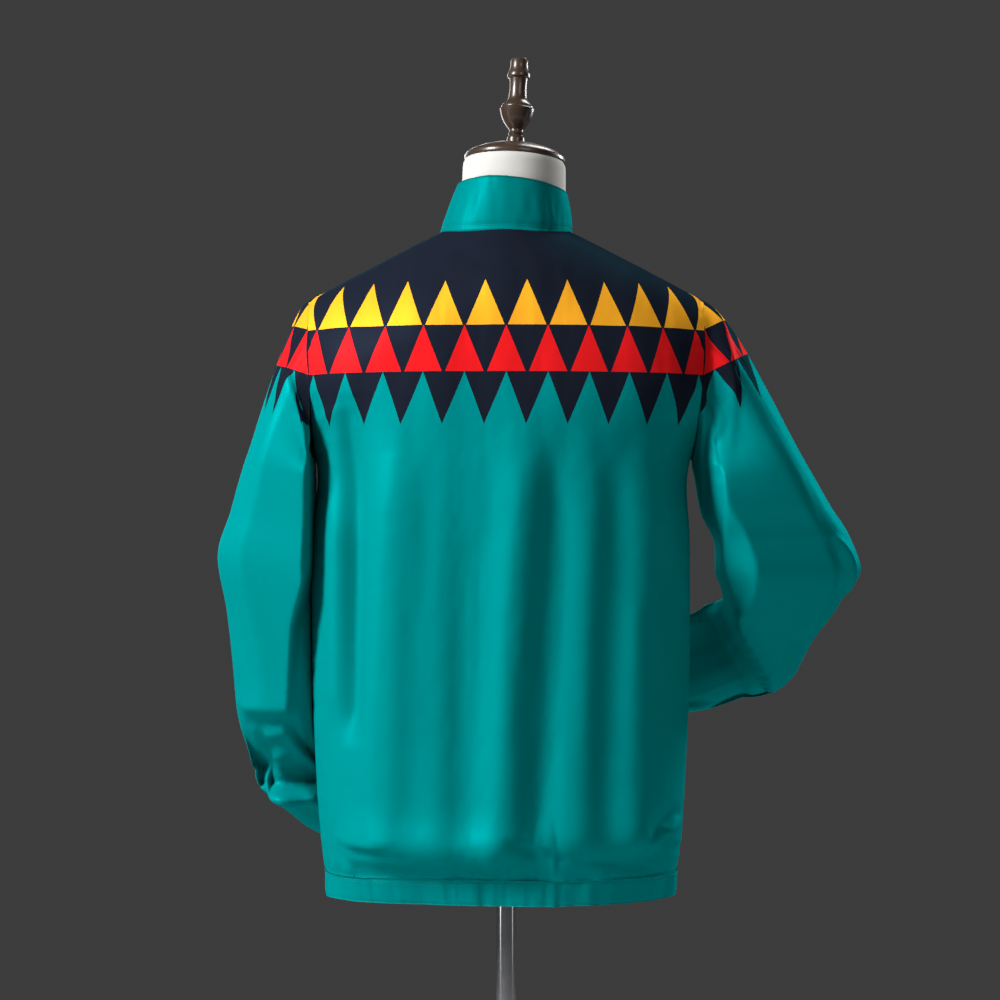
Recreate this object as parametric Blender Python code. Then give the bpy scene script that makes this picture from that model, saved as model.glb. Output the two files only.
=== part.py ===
"""A zip-up windbreaker on a limbless dress form, seen as it hangs: both sleeves bent forwards at the elbow.

Metres, +Z up. The stand's base lies on z = 0 with its pole on the Z axis. The garment's front faces -Y, so the
wearer's left is +X. Each cloth piece is a thin closed wall about a grid of points worked out from the tables below.
"""

import math
from collections import namedtuple

import bmesh
import bpy
import numpy as np
from mathutils import Matrix, Vector

# ---------------------------------------------------------------- driving sizes
WALL = 0.0015  # cloth
GAP = 0.0003  # between pieces at a seam, and from the garment to what carries it
BACK, FRONT = 1, -1  # which way a body panel faces along Y
LEFT, RIGHT = 1, -1  # the wearer's side, along X

HEM_BOTTOM = 0.777
HEM_TOP = 0.803
UNDERARM = 1.238
RIDGE_TOP = 1.505  # where the two shoulder lines would meet on the middle
SHOULDER_SLOPE = 0.533
RIDGE_ROUND = 0.03
SHOULDER_TIP_X = 0.210
UNDERARM_X = 0.200
ARCH = {BACK: 0.120, FRONT: 0.150}  # how far below the ridge a panel reaches its full depth
SQUARENESS = 2.3  # of the body's sections: 2 is an ellipse
NECK_HALF_WIDTH = 0.0712
NECK_DEPTH = {BACK: 0.064, FRONT: 0.082}

COLLAR_TOP_HALF_WIDTH = 0.0588
COLLAR_TOP_DEPTH = {BACK: 0.0588, FRONT: 0.0650}
COLLAR_TOP_Z = {BACK: 1.533, FRONT: 1.508}
COLLAR_SIDE_TOP_Z = 1.527
COLLAR_BULGE = 0.0012
COLLAR_ROLL = 0.085  # its top edge drops towards the wearer's right
COLLAR_LEAN = -0.0068  # the form's neck leans a little to the wearer's right
ZIP_HALF = 0.0042  # from the middle to each front edge

# ---------------------------------------------------------------- tables
BodySection = namedtuple("BodySection", "height half_width back front")
BODY = (
    BodySection(0.777, 0.1870, 0.1130, 0.1150),
    BodySection(0.803, 0.1872, 0.1135, 0.1155),
    BodySection(0.820, 0.1892, 0.1195, 0.1200),
    BodySection(0.850, 0.1922, 0.1235, 0.1240),
    BodySection(0.950, 0.1985, 0.1220, 0.1225),
    BodySection(1.060, 0.2012, 0.1210, 0.1240),
    BodySection(1.150, 0.2012, 0.1230, 0.1270),
    BodySection(1.238, 0.2000, 0.1250, 0.1300),
    BodySection(1.310, 0.2330, 0.1240, 0.1290),
    BodySection(1.400, 0.2450, 0.1130, 0.1180),
    BodySection(1.480, 0.2450, 0.0970, 0.1060),
    BodySection(1.560, 0.2450, 0.0900, 0.1000),
)

# A fold runs down a panel. It is a ridge, or a trough where its rise is negative.
Fold = namedtuple("Fold", "top_x bottom_x top_z bottom_z width rise")
FOLDS = {
    BACK: (
        Fold(0.176, 0.176, 1.30, 0.98, 0.012, 0.0045),
        Fold(0.158, 0.160, 1.28, 0.96, 0.012, -0.0060),
        Fold(0.108, 0.131, 1.33, 0.83, 0.026, 0.0095),
        Fold(0.066, 0.074, 1.22, 0.84, 0.016, 0.0022),
        Fold(0.026, 0.038, 1.24, 0.84, 0.024, -0.0050),
        Fold(-0.024, 0.010, 1.33, 0.83, 0.026, 0.0095),
        Fold(-0.052, -0.030, 1.30, 0.83, 0.017, -0.0065),
        Fold(-0.086, -0.074, 1.28, 0.84, 0.020, 0.0045),
        Fold(-0.113, -0.102, 1.28, 0.84, 0.018, -0.0045),
        Fold(-0.151, -0.131, 1.30, 0.84, 0.022, 0.0070),
    ),
    FRONT: (
        Fold(0.150, 0.150, 1.30, 0.84, 0.022, 0.0060),
        Fold(0.112, 0.104, 1.26, 0.84, 0.020, -0.0050),
        Fold(0.070, 0.060, 1.30, 0.83, 0.022, 0.0065),
        Fold(-0.064, -0.052, 1.32, 0.83, 0.024, 0.0070),
        Fold(-0.108, -0.098, 1.27, 0.84, 0.020, -0.0050),
        Fold(-0.150, -0.146, 1.30, 0.85, 0.020, 0.0055),
    ),
}

# Sleeve rings from the armhole to the cuff seam, each by its two ends across: inner and outer on the upper arm,
# top and bottom on the forearm. x counts outwards from the middle, `depth` is the half size square to that, and
# `swing` turns its direction from straight back towards the body, in degrees.
SleeveRing = namedtuple("SleeveRing", "inner_x inner_z outer_x outer_z y depth swing")
SLEEVES = {
    LEFT: (
        SleeveRing(0.2030, 1.214, 0.2790, 1.234, -0.004, 0.070, 0),
        SleeveRing(0.2035, 1.165, 0.2945, 1.184, -0.010, 0.069, 4),
        SleeveRing(0.2040, 1.110, 0.3095, 1.136, -0.014, 0.067, 8),
        SleeveRing(0.2045, 1.052, 0.2985, 1.076, -0.016, 0.064, 14),
        SleeveRing(0.2050, 1.000, 0.2890, 1.016, -0.018, 0.060, 22),
        SleeveRing(0.2060, 0.966, 0.2805, 0.958, -0.024, 0.055, 32),
        SleeveRing(0.2080, 0.950, 0.2720, 0.904, -0.038, 0.050, 42),
        SleeveRing(0.2110, 0.940, 0.2590, 0.876, -0.056, 0.046, 50),
        SleeveRing(0.2060, 0.927, 0.2400, 0.857, -0.080, 0.043, 55),
        SleeveRing(0.1950, 0.912, 0.2220, 0.840, -0.106, 0.041, 57),
        SleeveRing(0.1780, 0.894, 0.2000, 0.822, -0.138, 0.038, 57),
        SleeveRing(0.1600, 0.876, 0.1780, 0.811, -0.168, 0.034, 56),
    ),
    RIGHT: (
        SleeveRing(0.2030, 1.214, 0.3225, 1.231, -0.004, 0.068, 0),
        SleeveRing(0.2095, 1.180, 0.3470, 1.190, -0.010, 0.068, 4),
        SleeveRing(0.2235, 1.150, 0.3670, 1.158, -0.014, 0.066, 9),
        SleeveRing(0.2270, 1.118, 0.3780, 1.120, -0.018, 0.061, 16),
        SleeveRing(0.2360, 1.101, 0.3650, 1.092, -0.026, 0.056, 24),
        SleeveRing(0.2415, 1.093, 0.3500, 1.065, -0.036, 0.052, 31),
        SleeveRing(0.2445, 1.0885, 0.3340, 1.040, -0.046, 0.049, 37),
        SleeveRing(0.2425, 1.086, 0.3000, 0.989, -0.060, 0.046, 43),
        SleeveRing(0.2290, 1.080, 0.2610, 0.973, -0.082, 0.044, 46),
        SleeveRing(0.2075, 1.068, 0.2300, 0.9625, -0.106, 0.042, 47),
        SleeveRing(0.1800, 1.053, 0.1990, 0.957, -0.136, 0.038, 47),
        SleeveRing(0.1520, 1.036, 0.1670, 0.953, -0.165, 0.034, 47),
    ),
}
# A fold along a sleeve, from one ring to another, at an angle round it: 0 inner, 90 back, 180 outer, 270 front.
SleeveFold = namedtuple("SleeveFold", "first last angle_first angle_last spread rise")
SLEEVE_FOLDS = {
    LEFT: (
        SleeveFold(-3.0, 4.5, 100, 120, 22, 0.0050),
        SleeveFold(-1.0, 4.6, 62, 84, 20, -0.0055),
        SleeveFold(-2.0, 4.0, 148, 150, 20, -0.0040),
        SleeveFold(-2.0, 5.0, 262, 250, 26, 0.0050),
        SleeveFold(-1.0, 4.5, 300, 292, 22, -0.0045),
        SleeveFold(4.8, 9.0, 200, 195, 26, 0.0040),
        SleeveFold(5.2, 9.5, 150, 150, 22, -0.0045),
    ),
    RIGHT: (
        SleeveFold(-5.5, 1.4, 84, 70, 20, -0.0060),
        SleeveFold(-5.5, 3.0, 118, 104, 24, 0.0050),
        SleeveFold(-3.0, 4.0, 262, 250, 26, 0.0050),
        SleeveFold(-2.0, 3.5, 300, 292, 22, -0.0045),
        SleeveFold(5.5, 9.5, 205, 200, 26, 0.0040),
        SleeveFold(6.0, 10.0, 150, 150, 22, -0.0040),
    ),
}
CAP_LEAD = {LEFT: 0.10, RIGHT: 0.20}  # share of its reach that the sleeve head runs on before it turns down
UNDERARM_FOLD = math.radians(155)  # turn of the sleeve back on the body at the underarm
CUFF_LENGTH = 0.028
CUFF_DRAW_IN = 0.90  # its elastic draws the end in to this share

# Grid counts
SIDE_COLUMNS = 7  # from the neck's side to the edge of a panel
NECK_COLUMNS = 12
BODY_ROWS = 13
YOKE_ROWS = 12  # from the underarm to the shoulder seam; a sleeve has twice as many columns
CAP_ROWS = 6
COLLAR_ROWS = 4
HEM_ROWS = 2
RING_STEPS = 2  # sleeve rows from one ring of the table to the next

# ---------------------------------------------------------------- dress form and stand
FormSection = namedtuple("FormSection", "height half_width back front")
FORM = (
    FormSection(0.820, 0.158, 0.092, 0.090),
    FormSection(0.900, 0.168, 0.104, 0.094),
    FormSection(1.000, 0.160, 0.096, 0.092),
    FormSection(1.120, 0.158, 0.094, 0.098),
    FormSection(1.238, 0.172, 0.106, 0.112),
    FormSection(1.310, 0.215, 0.112, 0.116),
    FormSection(1.400, 0.232, 0.102, 0.106),
    FormSection(1.480, 0.236, 0.087, 0.095),
    FormSection(1.560, 0.236, 0.080, 0.088),
)
FORM_BOTTOM = 0.820
SEAT = (WALL / 2 + GAP + 0.0004) / math.cos(math.atan(SHOULDER_SLOPE))  # how far the form's shoulders lie below
NECK_RADIUS = 0.0553
NECK_TOP = (-0.0093, -0.002, 1.5575)  # middle of the neck's top
NECK_LEAN, NECK_NOD = math.radians(2.8), math.radians(3.0)  # its top leans to the wearer's right and nods forwards
NECK_ROWS = 5
NeckEdge = namedtuple("NeckEdge", "drop radius")
NECK_EDGE = (NeckEdge(0.0085, 0.0553), NeckEdge(0.0035, 0.0548), NeckEdge(0.0008, 0.0536), NeckEdge(0.0, 0.0520))
ARM_END_BULGE = 0.010

TurnedPoint = namedtuple("TurnedPoint", "height radius")
CAP_PROFILE = (
    TurnedPoint(0.0, 0.0528),
    TurnedPoint(0.0012, 0.0540),
    TurnedPoint(0.0036, 0.0542),
    TurnedPoint(0.0056, 0.0530),
    TurnedPoint(0.0085, 0.0490),
    TurnedPoint(0.0125, 0.0405),
    TurnedPoint(0.0160, 0.0295),
    TurnedPoint(0.0185, 0.0180),
    TurnedPoint(0.0195, 0.0100),
)
FINIAL_PROFILE = (
    TurnedPoint(-0.0040, 0.0095),
    TurnedPoint(0.0000, 0.0095),
    TurnedPoint(0.0022, 0.0092),
    TurnedPoint(0.0044, 0.0076),
    TurnedPoint(0.0066, 0.0085),
    TurnedPoint(0.0088, 0.0074),
    TurnedPoint(0.0105, 0.0074),
    TurnedPoint(0.0145, 0.0106),
    TurnedPoint(0.0195, 0.0142),
    TurnedPoint(0.0255, 0.0169),
    TurnedPoint(0.0315, 0.0183),
    TurnedPoint(0.0332, 0.0186),
    TurnedPoint(0.0342, 0.0176),
    TurnedPoint(0.0360, 0.0174),
    TurnedPoint(0.0388, 0.0152),
    TurnedPoint(0.0408, 0.0126),
    TurnedPoint(0.0424, 0.0110),
    TurnedPoint(0.0460, 0.0099),
    TurnedPoint(0.0540, 0.0091),
    TurnedPoint(0.0620, 0.0092),
    TurnedPoint(0.0668, 0.0098),
    TurnedPoint(0.0678, 0.0120),
    TurnedPoint(0.0704, 0.0125),
    TurnedPoint(0.0732, 0.0114),
    TurnedPoint(0.0756, 0.0102),
    TurnedPoint(0.0800, 0.0096),
    TurnedPoint(0.0862, 0.0095),
    TurnedPoint(0.0885, 0.0080),
)
POLE_RADIUS = 0.0105
BASE_PROFILE = (
    TurnedPoint(0.0000, 0.1740),
    TurnedPoint(0.0020, 0.1750),
    TurnedPoint(0.0080, 0.1750),
    TurnedPoint(0.0100, 0.1735),
    TurnedPoint(0.0120, 0.1650),
    TurnedPoint(0.0180, 0.0600),
    TurnedPoint(0.0220, 0.0260),
    TurnedPoint(0.0400, 0.0200),
    TurnedPoint(0.0420, 0.0185),
)

# ---------------------------------------------------------------- zip
TAPE_THICK = 0.0010
TAPE_INNER, TAPE_OUTER = 0.0029, 0.0130
CHAIN_HALF, CHAIN_THICK = 0.0026, 0.0016
SLIDER_DOWN = 0.010  # from the collar's top edge to the slider's middle, along the wall
SLIDER_LENGTH, SLIDER_HALF_TOP, SLIDER_HALF_BOTTOM = 0.0110, 0.0038, 0.0032
PLATE_THICK = 0.0011
POST_HALF, POST_LENGTH = 0.0013, 0.0036
BRIDGE_HALF, BRIDGE_THICK = 0.0008, 0.0009
BRIDGE_RISE, BRIDGE_SPAN = 0.0034, 0.0080
PIN_RADIUS = 0.00055
PULL_ARM_GAP = 0.0013  # from the middle to each arm of the pull
PULL_ARM_WIDTH = 0.0011
PULL_THICK = 0.0011
PULL_PIN_UP = -0.0022  # the pin's height from the slider's middle, at the bridge's lower end
PULL_EYE = 0.0062  # from the pin to the plate
PULL_LENGTH = 0.0260
PULL_HALF = 0.0032


Torso = namedtuple(
    "Torso",
    "sections ridge_top tip_x side_x bottom neck_half neck_depth body_rows yoke_rows neck_columns side_columns",
)
GARMENT = Torso(
    sections=BODY,
    ridge_top=RIDGE_TOP,
    tip_x=SHOULDER_TIP_X,
    side_x=UNDERARM_X,
    bottom=HEM_TOP + GAP,
    neck_half=NECK_HALF_WIDTH,
    neck_depth=NECK_DEPTH,
    body_rows=BODY_ROWS,
    yoke_rows=YOKE_ROWS,
    neck_columns=NECK_COLUMNS,
    side_columns=SIDE_COLUMNS,
)
DRESS_FORM = Torso(
    sections=FORM,
    ridge_top=RIDGE_TOP - SEAT,
    tip_x=0.190,
    side_x=0.172,
    bottom=FORM_BOTTOM,
    neck_half=0.0640,
    neck_depth={BACK: 0.0570, FRONT: 0.0680},
    body_rows=6,
    yoke_rows=6,
    neck_columns=12,
    side_columns=5,
)


# ---------------------------------------------------------------- small helpers
def column(table, name, height):
    """One column of a section table at any height, on a smooth curve through its rows."""
    at = np.array([row.height for row in table])
    values = np.array([getattr(row, name) for row in table])
    slopes = np.gradient(values, at)
    height = np.clip(height, at[0], at[-1])
    k = np.clip(np.searchsorted(at, height) - 1, 0, len(at) - 2)
    span = at[k + 1] - at[k]
    t = (height - at[k]) / span
    return (
        values[k] * (1 + 2 * t) * (1 - t) ** 2
        + values[k + 1] * t * t * (3 - 2 * t)
        + span * (slopes[k] * t * (1 - t) ** 2 - slopes[k + 1] * t * t * (1 - t))
    )


def smoothstep(low, high, value):
    t = np.clip((value - low) / (high - low), 0, 1)
    return t * t * (3 - 2 * t)


def unit(vectors):
    return vectors / np.maximum(np.linalg.norm(vectors, axis=-1, keepdims=True), 1e-12)


def points_of(x, y, z):
    return np.stack(np.broadcast_arrays(x, y, z), axis=-1).astype(float)


def grid_normals(points, wrap=False):
    """A unit normal at each point of a grid, from its neighbours. `wrap` joins the last column to the first."""
    if wrap:
        along = np.roll(points, -1, axis=1) - np.roll(points, 1, axis=1)
    else:
        along = np.gradient(points, axis=1)
    return unit(np.cross(along, np.gradient(points, axis=0)))


def material(name, colour, roughness, metallic=0.0):
    made = bpy.data.materials.new(name)
    made.use_nodes = True
    shader = made.node_tree.nodes["Principled BSDF"]
    shader.inputs["Base Color"].default_value = (*colour, 1.0)
    shader.inputs["Roughness"].default_value = roughness
    shader.inputs["Metallic"].default_value = metallic
    return made


def add_object(name, bm, finish, smooth_angle=50):
    """A new object from a bmesh, its faces turned outwards."""
    bmesh.ops.recalc_face_normals(bm, faces=bm.faces)
    mesh = bpy.data.meshes.new(name)
    bm.to_mesh(mesh)
    bm.free()
    mesh.shade_smooth()
    mesh.set_sharp_from_angle(angle=math.radians(smooth_angle))
    mesh.materials.append(finish)
    made = bpy.data.objects.new(name, mesh)
    bpy.context.scene.collection.objects.link(made)
    return made


def cloth(name, points, normals, finish, wrap=False, wall=WALL):
    """A closed wall of cloth about a grid of mid-wall points."""
    rows, columns = points.shape[:2]
    bm = bmesh.new()
    faces = [
        [[bm.verts.new(points[i, j] + side * wall / 2 * normals[i, j]) for j in range(columns)] for i in range(rows)]
        for side in (1, -1)
    ]
    outer, inner = faces
    last = columns if wrap else columns - 1
    for j in range(last):
        k = (j + 1) % columns
        for i in range(rows - 1):
            bm.faces.new((outer[i][j], outer[i][k], outer[i + 1][k], outer[i + 1][j]))
            bm.faces.new((inner[i + 1][j], inner[i + 1][k], inner[i][k], inner[i][j]))
        bm.faces.new((inner[0][j], inner[0][k], outer[0][k], outer[0][j]))
        bm.faces.new((outer[-1][j], outer[-1][k], inner[-1][k], inner[-1][j]))
    if not wrap:
        for i in range(rows - 1):
            bm.faces.new((outer[i][0], outer[i + 1][0], inner[i + 1][0], inner[i][0]))
            bm.faces.new((inner[i][-1], inner[i + 1][-1], outer[i + 1][-1], outer[i][-1]))
    return add_object(name, bm, finish)


def turned(name, profile, finish, segments, place=None):
    """A solid of revolution about Z from a table of heights and radii, moved by a matrix."""
    bm = bmesh.new()
    rings = [
        [
            bm.verts.new((p.radius * math.cos(a), p.radius * math.sin(a), p.height))
            for a in (2 * math.pi * k / segments for k in range(segments))
        ]
        for p in profile
    ]
    for low, high in zip(rings, rings[1:]):
        for k in range(segments):
            bm.faces.new((low[k], low[(k + 1) % segments], high[(k + 1) % segments], high[k]))
    bm.faces.new(rings[0][::-1])
    bm.faces.new(rings[-1])
    if place is not None:
        bmesh.ops.transform(bm, matrix=place, verts=bm.verts)
    return add_object(name, bm, finish, smooth_angle=35)


# ---------------------------------------------------------------- the body's surface
def ridge_height(x, torso=None):
    """Height of the shoulder line at a distance from the middle."""
    return (torso or GARMENT).ridge_top - SHOULDER_SLOPE * (np.hypot(x, RIDGE_ROUND) - RIDGE_ROUND)


def section_side(x, half_width):
    return (1 - np.minimum(np.abs(x / half_width), 1) ** SQUARENESS) ** (1 / SQUARENESS)


def full_depth(torso, face, x, z):
    depth = column(torso.sections, "back" if face == BACK else "front", z)
    return depth * section_side(x, column(torso.sections, "half_width", z))


def body_depth(face, x, z, torso=None):
    """How far the surface stands from the XZ plane, towards the back or the front."""
    torso = torso or GARMENT
    below = np.clip((ridge_height(x, torso) - z) / ARCH[face], 0, 1)
    return full_depth(torso, face, x, z) * np.sqrt(1 - (1 - below) ** 2)


def top_height(face, x, torso=None):
    """Height of a panel's top edge: the neck seam in the middle, the shoulder seam beyond it."""
    torso = torso or GARMENT
    seam = torso.neck_depth[face] * np.sqrt(1 - np.minimum(np.abs(x / torso.neck_half), 1) ** 2)
    height = ridge_height(x, torso)
    for _ in range(6):
        share = np.minimum(seam / full_depth(torso, face, x, height), 1)
        height = ridge_height(x, torso) - ARCH[face] * (1 - np.sqrt(1 - share**2))
    return height


def armhole_x(z, torso=None):
    torso = torso or GARMENT
    rise = (z - UNDERARM) / (ridge_height(torso.tip_x, torso) - UNDERARM)
    return torso.side_x + (torso.tip_x - torso.side_x) * np.clip(rise, 0, 1)


def yoke_shares(torso=None):
    """Heights from the underarm to the shoulder, as shares, that put points evenly along the back armhole."""
    torso = torso or GARMENT
    share = 1 - np.linspace(1, 0, 400) ** 2
    z = UNDERARM + (ridge_height(torso.tip_x, torso) - UNDERARM) * share
    x = armhole_x(z, torso)
    edge = points_of(x, body_depth(BACK, x, z, torso), z)
    along = np.concatenate([[0], np.cumsum(np.linalg.norm(np.diff(edge, axis=0), axis=1))])
    return np.interp(np.linspace(0, along[-1], torso.yoke_rows + 1), along, share)


def panel_columns(torso=None):
    """Places across a panel from -1 to 1. One falls on each side of the neck."""
    torso = torso or GARMENT
    side = math.asin((torso.neck_half / torso.tip_x) ** (SQUARENESS / 2)) * 2 / math.pi
    middle = np.linspace(-side, side, torso.neck_columns + 1)
    outer = np.linspace(side, 1, torso.side_columns + 1)[1:]
    return np.concatenate([-outer[::-1], middle, outer])


def panel_x(across, edge):
    wave = np.sin(across * math.pi / 2)
    return edge * np.sign(wave) * np.abs(wave) ** (2 / SQUARENESS)


def body_grid(face, torso=None):
    """Smooth mid-wall points of a whole front or back, from its lower edge to the shoulder and neck seams."""
    torso = torso or GARMENT
    across = panel_columns(torso)
    z = np.linspace(torso.bottom, UNDERARM, torso.body_rows + 1)[:, None]
    x = panel_x(across[None, :], column(torso.sections, "half_width", z))
    lower = points_of(x, face * body_depth(face, x, z, torso), z)
    share = yoke_shares(torso)[1:, None]
    edge_z = UNDERARM + (ridge_height(torso.tip_x, torso) - UNDERARM) * share
    x = panel_x(across[None, :], armhole_x(edge_z, torso))
    z = UNDERARM + (top_height(face, x, torso) - UNDERARM) * share
    return np.concatenate([lower, points_of(x, face * body_depth(face, x, z, torso), z)])


def fold_height(face, points):
    """How far the folds raise each point of a panel. They die away at the seams."""
    x, z = points[..., 0], points[..., 2]
    height = np.zeros(x.shape)
    for fold in FOLDS[face]:
        down = np.clip((fold.top_z - z) / (fold.top_z - fold.bottom_z), 0, 1)
        middle = fold.top_x + (fold.bottom_x - fold.top_x) * down
        ends = smoothstep(0, 0.3, down) * smoothstep(fold.bottom_z - 0.03, fold.bottom_z + 0.02, z)
        height += fold.rise * ends * np.exp(-(((x - middle) / fold.width) ** 2))
    edge = np.where(z < UNDERARM, column(BODY, "half_width", z), armhole_x(z))
    return height * smoothstep(0, 0.018, edge - np.abs(x))


def body_normals(face, points):
    """Outward normals of a body grid, square to the seams at the sides and shoulders."""
    normals = -face * grid_normals(points)
    normals[: BODY_ROWS + 1, [0, -1], 1] = 0
    on_shoulder = np.abs(points[-1, :, 0]) >= NECK_HALF_WIDTH - 1e-6
    normals[-1, on_shoulder, 1] = 0
    return unit(normals)


def body_panel(face):
    """Mid-wall points and normals of a whole front or back, folds and seam gap included."""
    points = body_grid(face)
    normals = body_normals(face, points)
    points = points + fold_height(face, points)[..., None] * normals
    normals = body_normals(face, points)
    points[..., 1] += face * GAP / 2
    return points, normals


# ---------------------------------------------------------------- body pieces
def make_back(finish):
    points, normals = body_panel(BACK)
    cloth("back_panel", points, normals, finish)


def front_half(points, normals, side):
    """The columns of a front grid on one side of the zip, the first moved to the zip's edge."""
    middle = points.shape[1] // 2
    keep = np.arange(middle, points.shape[1]) if side == LEFT else np.arange(middle, -1, -1)
    points, normals = points[:, keep].copy(), normals[:, keep].copy()
    points[:, 0, 0] = side * ZIP_HALF
    normals[:, 0, 0] = 0
    return points, unit(normals)


def make_fronts(finish):
    points, normals = body_panel(FRONT)
    for side, name in ((LEFT, "front_panel_left"), (RIGHT, "front_panel_right")):
        cloth(name, *front_half(points, normals, side), finish)


def hem_grid():
    """The hem band all round, from the zip's left edge by the back to its right edge."""
    across = panel_columns()
    z = np.linspace(HEM_BOTTOM, HEM_TOP, HEM_ROWS + 1)[:, None]
    width = column(BODY, "half_width", z)
    front_left = across[across > 1e-6]
    x_left = np.concatenate([np.full((len(z), 1), ZIP_HALF), panel_x(front_left[None, :], width)], axis=1)
    x_back = panel_x(across[::-1][None, 1:-1], width)
    x = np.concatenate([x_left, x_back, -x_left[:, ::-1]], axis=1)
    face = np.full(x.shape[1], FRONT)
    face[x_left.shape[1] : -x_left.shape[1]] = BACK
    y = np.where(face == BACK, body_depth(BACK, x, z), -body_depth(FRONT, x, z))
    return points_of(x, y, z)


def hem_panel():
    points = hem_grid()
    normals = grid_normals(points)
    normals[:, [0, -1], 0] = 0
    return points, unit(normals)


def make_hem(finish):
    cloth("hem_band", *hem_panel(), finish)


# ---------------------------------------------------------------- collar
def neck_ring():
    """Round the neck seam, from the zip's left edge by the back to its right edge.

    Gives the points, the body's normals and the way square to the seam, on from the panels.
    """
    back, back_normals = body_panel(BACK)
    front, front_normals = body_panel(FRONT)
    in_neck = np.abs(back[-1, :, 0]) < NECK_HALF_WIDTH + 1e-6
    left, left_normals = front_half(front, front_normals, LEFT)
    right, right_normals = front_half(front, front_normals, RIGHT)
    half = NECK_COLUMNS // 2
    ring, normals = [], []
    for points, panel_normals, order in (
        (left, left_normals, range(half)),
        (back, back_normals, np.flatnonzero(in_neck)[::-1]),
        (right, right_normals, range(half - 1, -1, -1)),
    ):
        for j in order:
            ring.append(points[-1, j])
            normals.append(panel_normals[-1, j])
    ring, normals = np.array(ring), unit(np.array(normals))
    ring[[half, -half - 1], 1] = 0  # the two points over the shoulder seams
    return ring, normals, unit(np.cross(np.gradient(ring, axis=0), normals)) * -1


def collar_grid():
    """The stand collar's mid-wall points, from the neck seam to its top edge."""
    ring, normals, onward = neck_ring()
    foot = ring + onward * (GAP + 0.0001)
    foot[[0, -1], 0] = ring[[0, -1], 0]
    around = np.arctan2(ring[:, 1] / np.where(ring[:, 1] > 0, NECK_DEPTH[BACK], NECK_DEPTH[FRONT]), ring[:, 0] / NECK_HALF_WIDTH)
    towards_back = np.sin(around)
    depth = np.where(towards_back > 0, COLLAR_TOP_DEPTH[BACK], COLLAR_TOP_DEPTH[FRONT])
    rise = np.where(towards_back > 0, COLLAR_TOP_Z[BACK], COLLAR_TOP_Z[FRONT]) - COLLAR_SIDE_TOP_Z
    lean = COLLAR_LEAN * smoothstep(0, 0.7, np.abs(np.cos(around)))  # the zip itself stays upright
    top = points_of(
        COLLAR_TOP_HALF_WIDTH * np.cos(around) + lean,
        depth * towards_back,
        COLLAR_SIDE_TOP_Z + rise * towards_back**2 + COLLAR_ROLL * COLLAR_TOP_HALF_WIDTH * np.cos(around),
    )
    top[[0, -1], 0] = foot[[0, -1], 0]
    rows = []
    for share in np.linspace(0, 1, COLLAR_ROWS + 1):
        row = foot + (top - foot) * share
        row += COLLAR_BULGE * math.sin(math.pi * share) * unit(points_of(ring[:, 0], ring[:, 1], 0))
        row[[0, -1], 0] = foot[[0, -1], 0]
        rows.append(row)
    points = np.array(rows)
    outward = grid_normals(points)
    outward[0] = normals
    outward[:, [0, -1], 0] = 0
    return points, unit(outward)


def make_collar(finish):
    cloth("collar", *collar_grid(), finish)


# ---------------------------------------------------------------- sleeves
def armhole_ring(side):
    """Round one armhole, from the underarm up the back to the shoulder and down the front.

    Gives the points where the sleeve starts, the way it leaves and its outward normals. At the underarm it folds
    back down over the side seam, so it starts outside the panel there.
    """
    edge_column, next_column = (-1, -2) if side == LEFT else (0, 1)
    parts = []
    for face in (BACK, FRONT):
        points, panel_normals = body_panel(face)
        rows = np.arange(BODY_ROWS, BODY_ROWS + YOKE_ROWS + 1)
        edge, normal = points[rows, edge_column], panel_normals[rows, edge_column]
        run = np.gradient(edge, axis=0)
        run[[0, -1]] *= (0, 1, 0)  # level at the underarm and the shoulder tip
        run = unit(run)
        away = edge - points[rows, next_column]
        away[0] = (0, 0, 1)
        away -= (away * run).sum(1, keepdims=True) * run
        away -= (away * normal).sum(1, keepdims=True) * normal
        parts.append((edge, normal, unit(away)))
    edge, normal, away = (np.concatenate([a, b[-2:0:-1]]) for a, b in zip(*parts))
    edge[[0, YOKE_ROWS], 1] = 0
    up = np.concatenate([np.arange(YOKE_ROWS + 1), np.arange(YOKE_ROWS - 1, 0, -1)])
    fold = (UNDERARM_FOLD * (1 - smoothstep(0, 0.62 * YOKE_ROWS, up)))[:, None]
    leaves = np.cos(fold) * away + np.sin(fold) * normal
    outward = np.cos(fold) * normal - np.sin(fold) * away
    lap = np.cos(fold / 2) * away + np.sin(fold / 2) * normal
    return edge + lap * (GAP + WALL * np.sin(fold / 2)), leaves, outward


def sleeve_rings(side):
    """Points of each ring of the table, as (ring, column, 3)."""
    angle = 2 * math.pi * np.arange(2 * YOKE_ROWS) / (2 * YOKE_ROWS)
    rings = []
    for r in SLEEVES[side]:
        swing = math.radians(r.swing)
        half_x = (r.outer_x - r.inner_x) / 2
        across = np.array([side * half_x, half_x * math.tan(swing), (r.outer_z - r.inner_z) / 2])
        rear = np.array([-side * math.sin(swing), math.cos(swing), 0])
        centre = np.array([side * (r.inner_x + r.outer_x) / 2, r.y, (r.inner_z + r.outer_z) / 2])
        turned_angle = angle + swing
        rings.append(centre - np.cos(turned_angle)[:, None] * across + r.depth * np.sin(turned_angle)[:, None] * rear)
    return np.array(rings)


def clear_of_body(points, side):
    """Moves a sleeve's points outwards where they'd touch the body's side."""
    x, y, z = points[..., 0], points[..., 1], points[..., 2]
    depth = np.where(y > 0, column(BODY, "back", z), column(BODY, "front", z))
    outline = column(BODY, "half_width", z) * section_side(y, depth)
    near = np.where(z < UNDERARM - 0.012, outline + WALL + 2 * GAP, 0)
    moved = points.copy()
    moved[..., 0] = side * np.maximum(side * x, near)
    return moved


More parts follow.
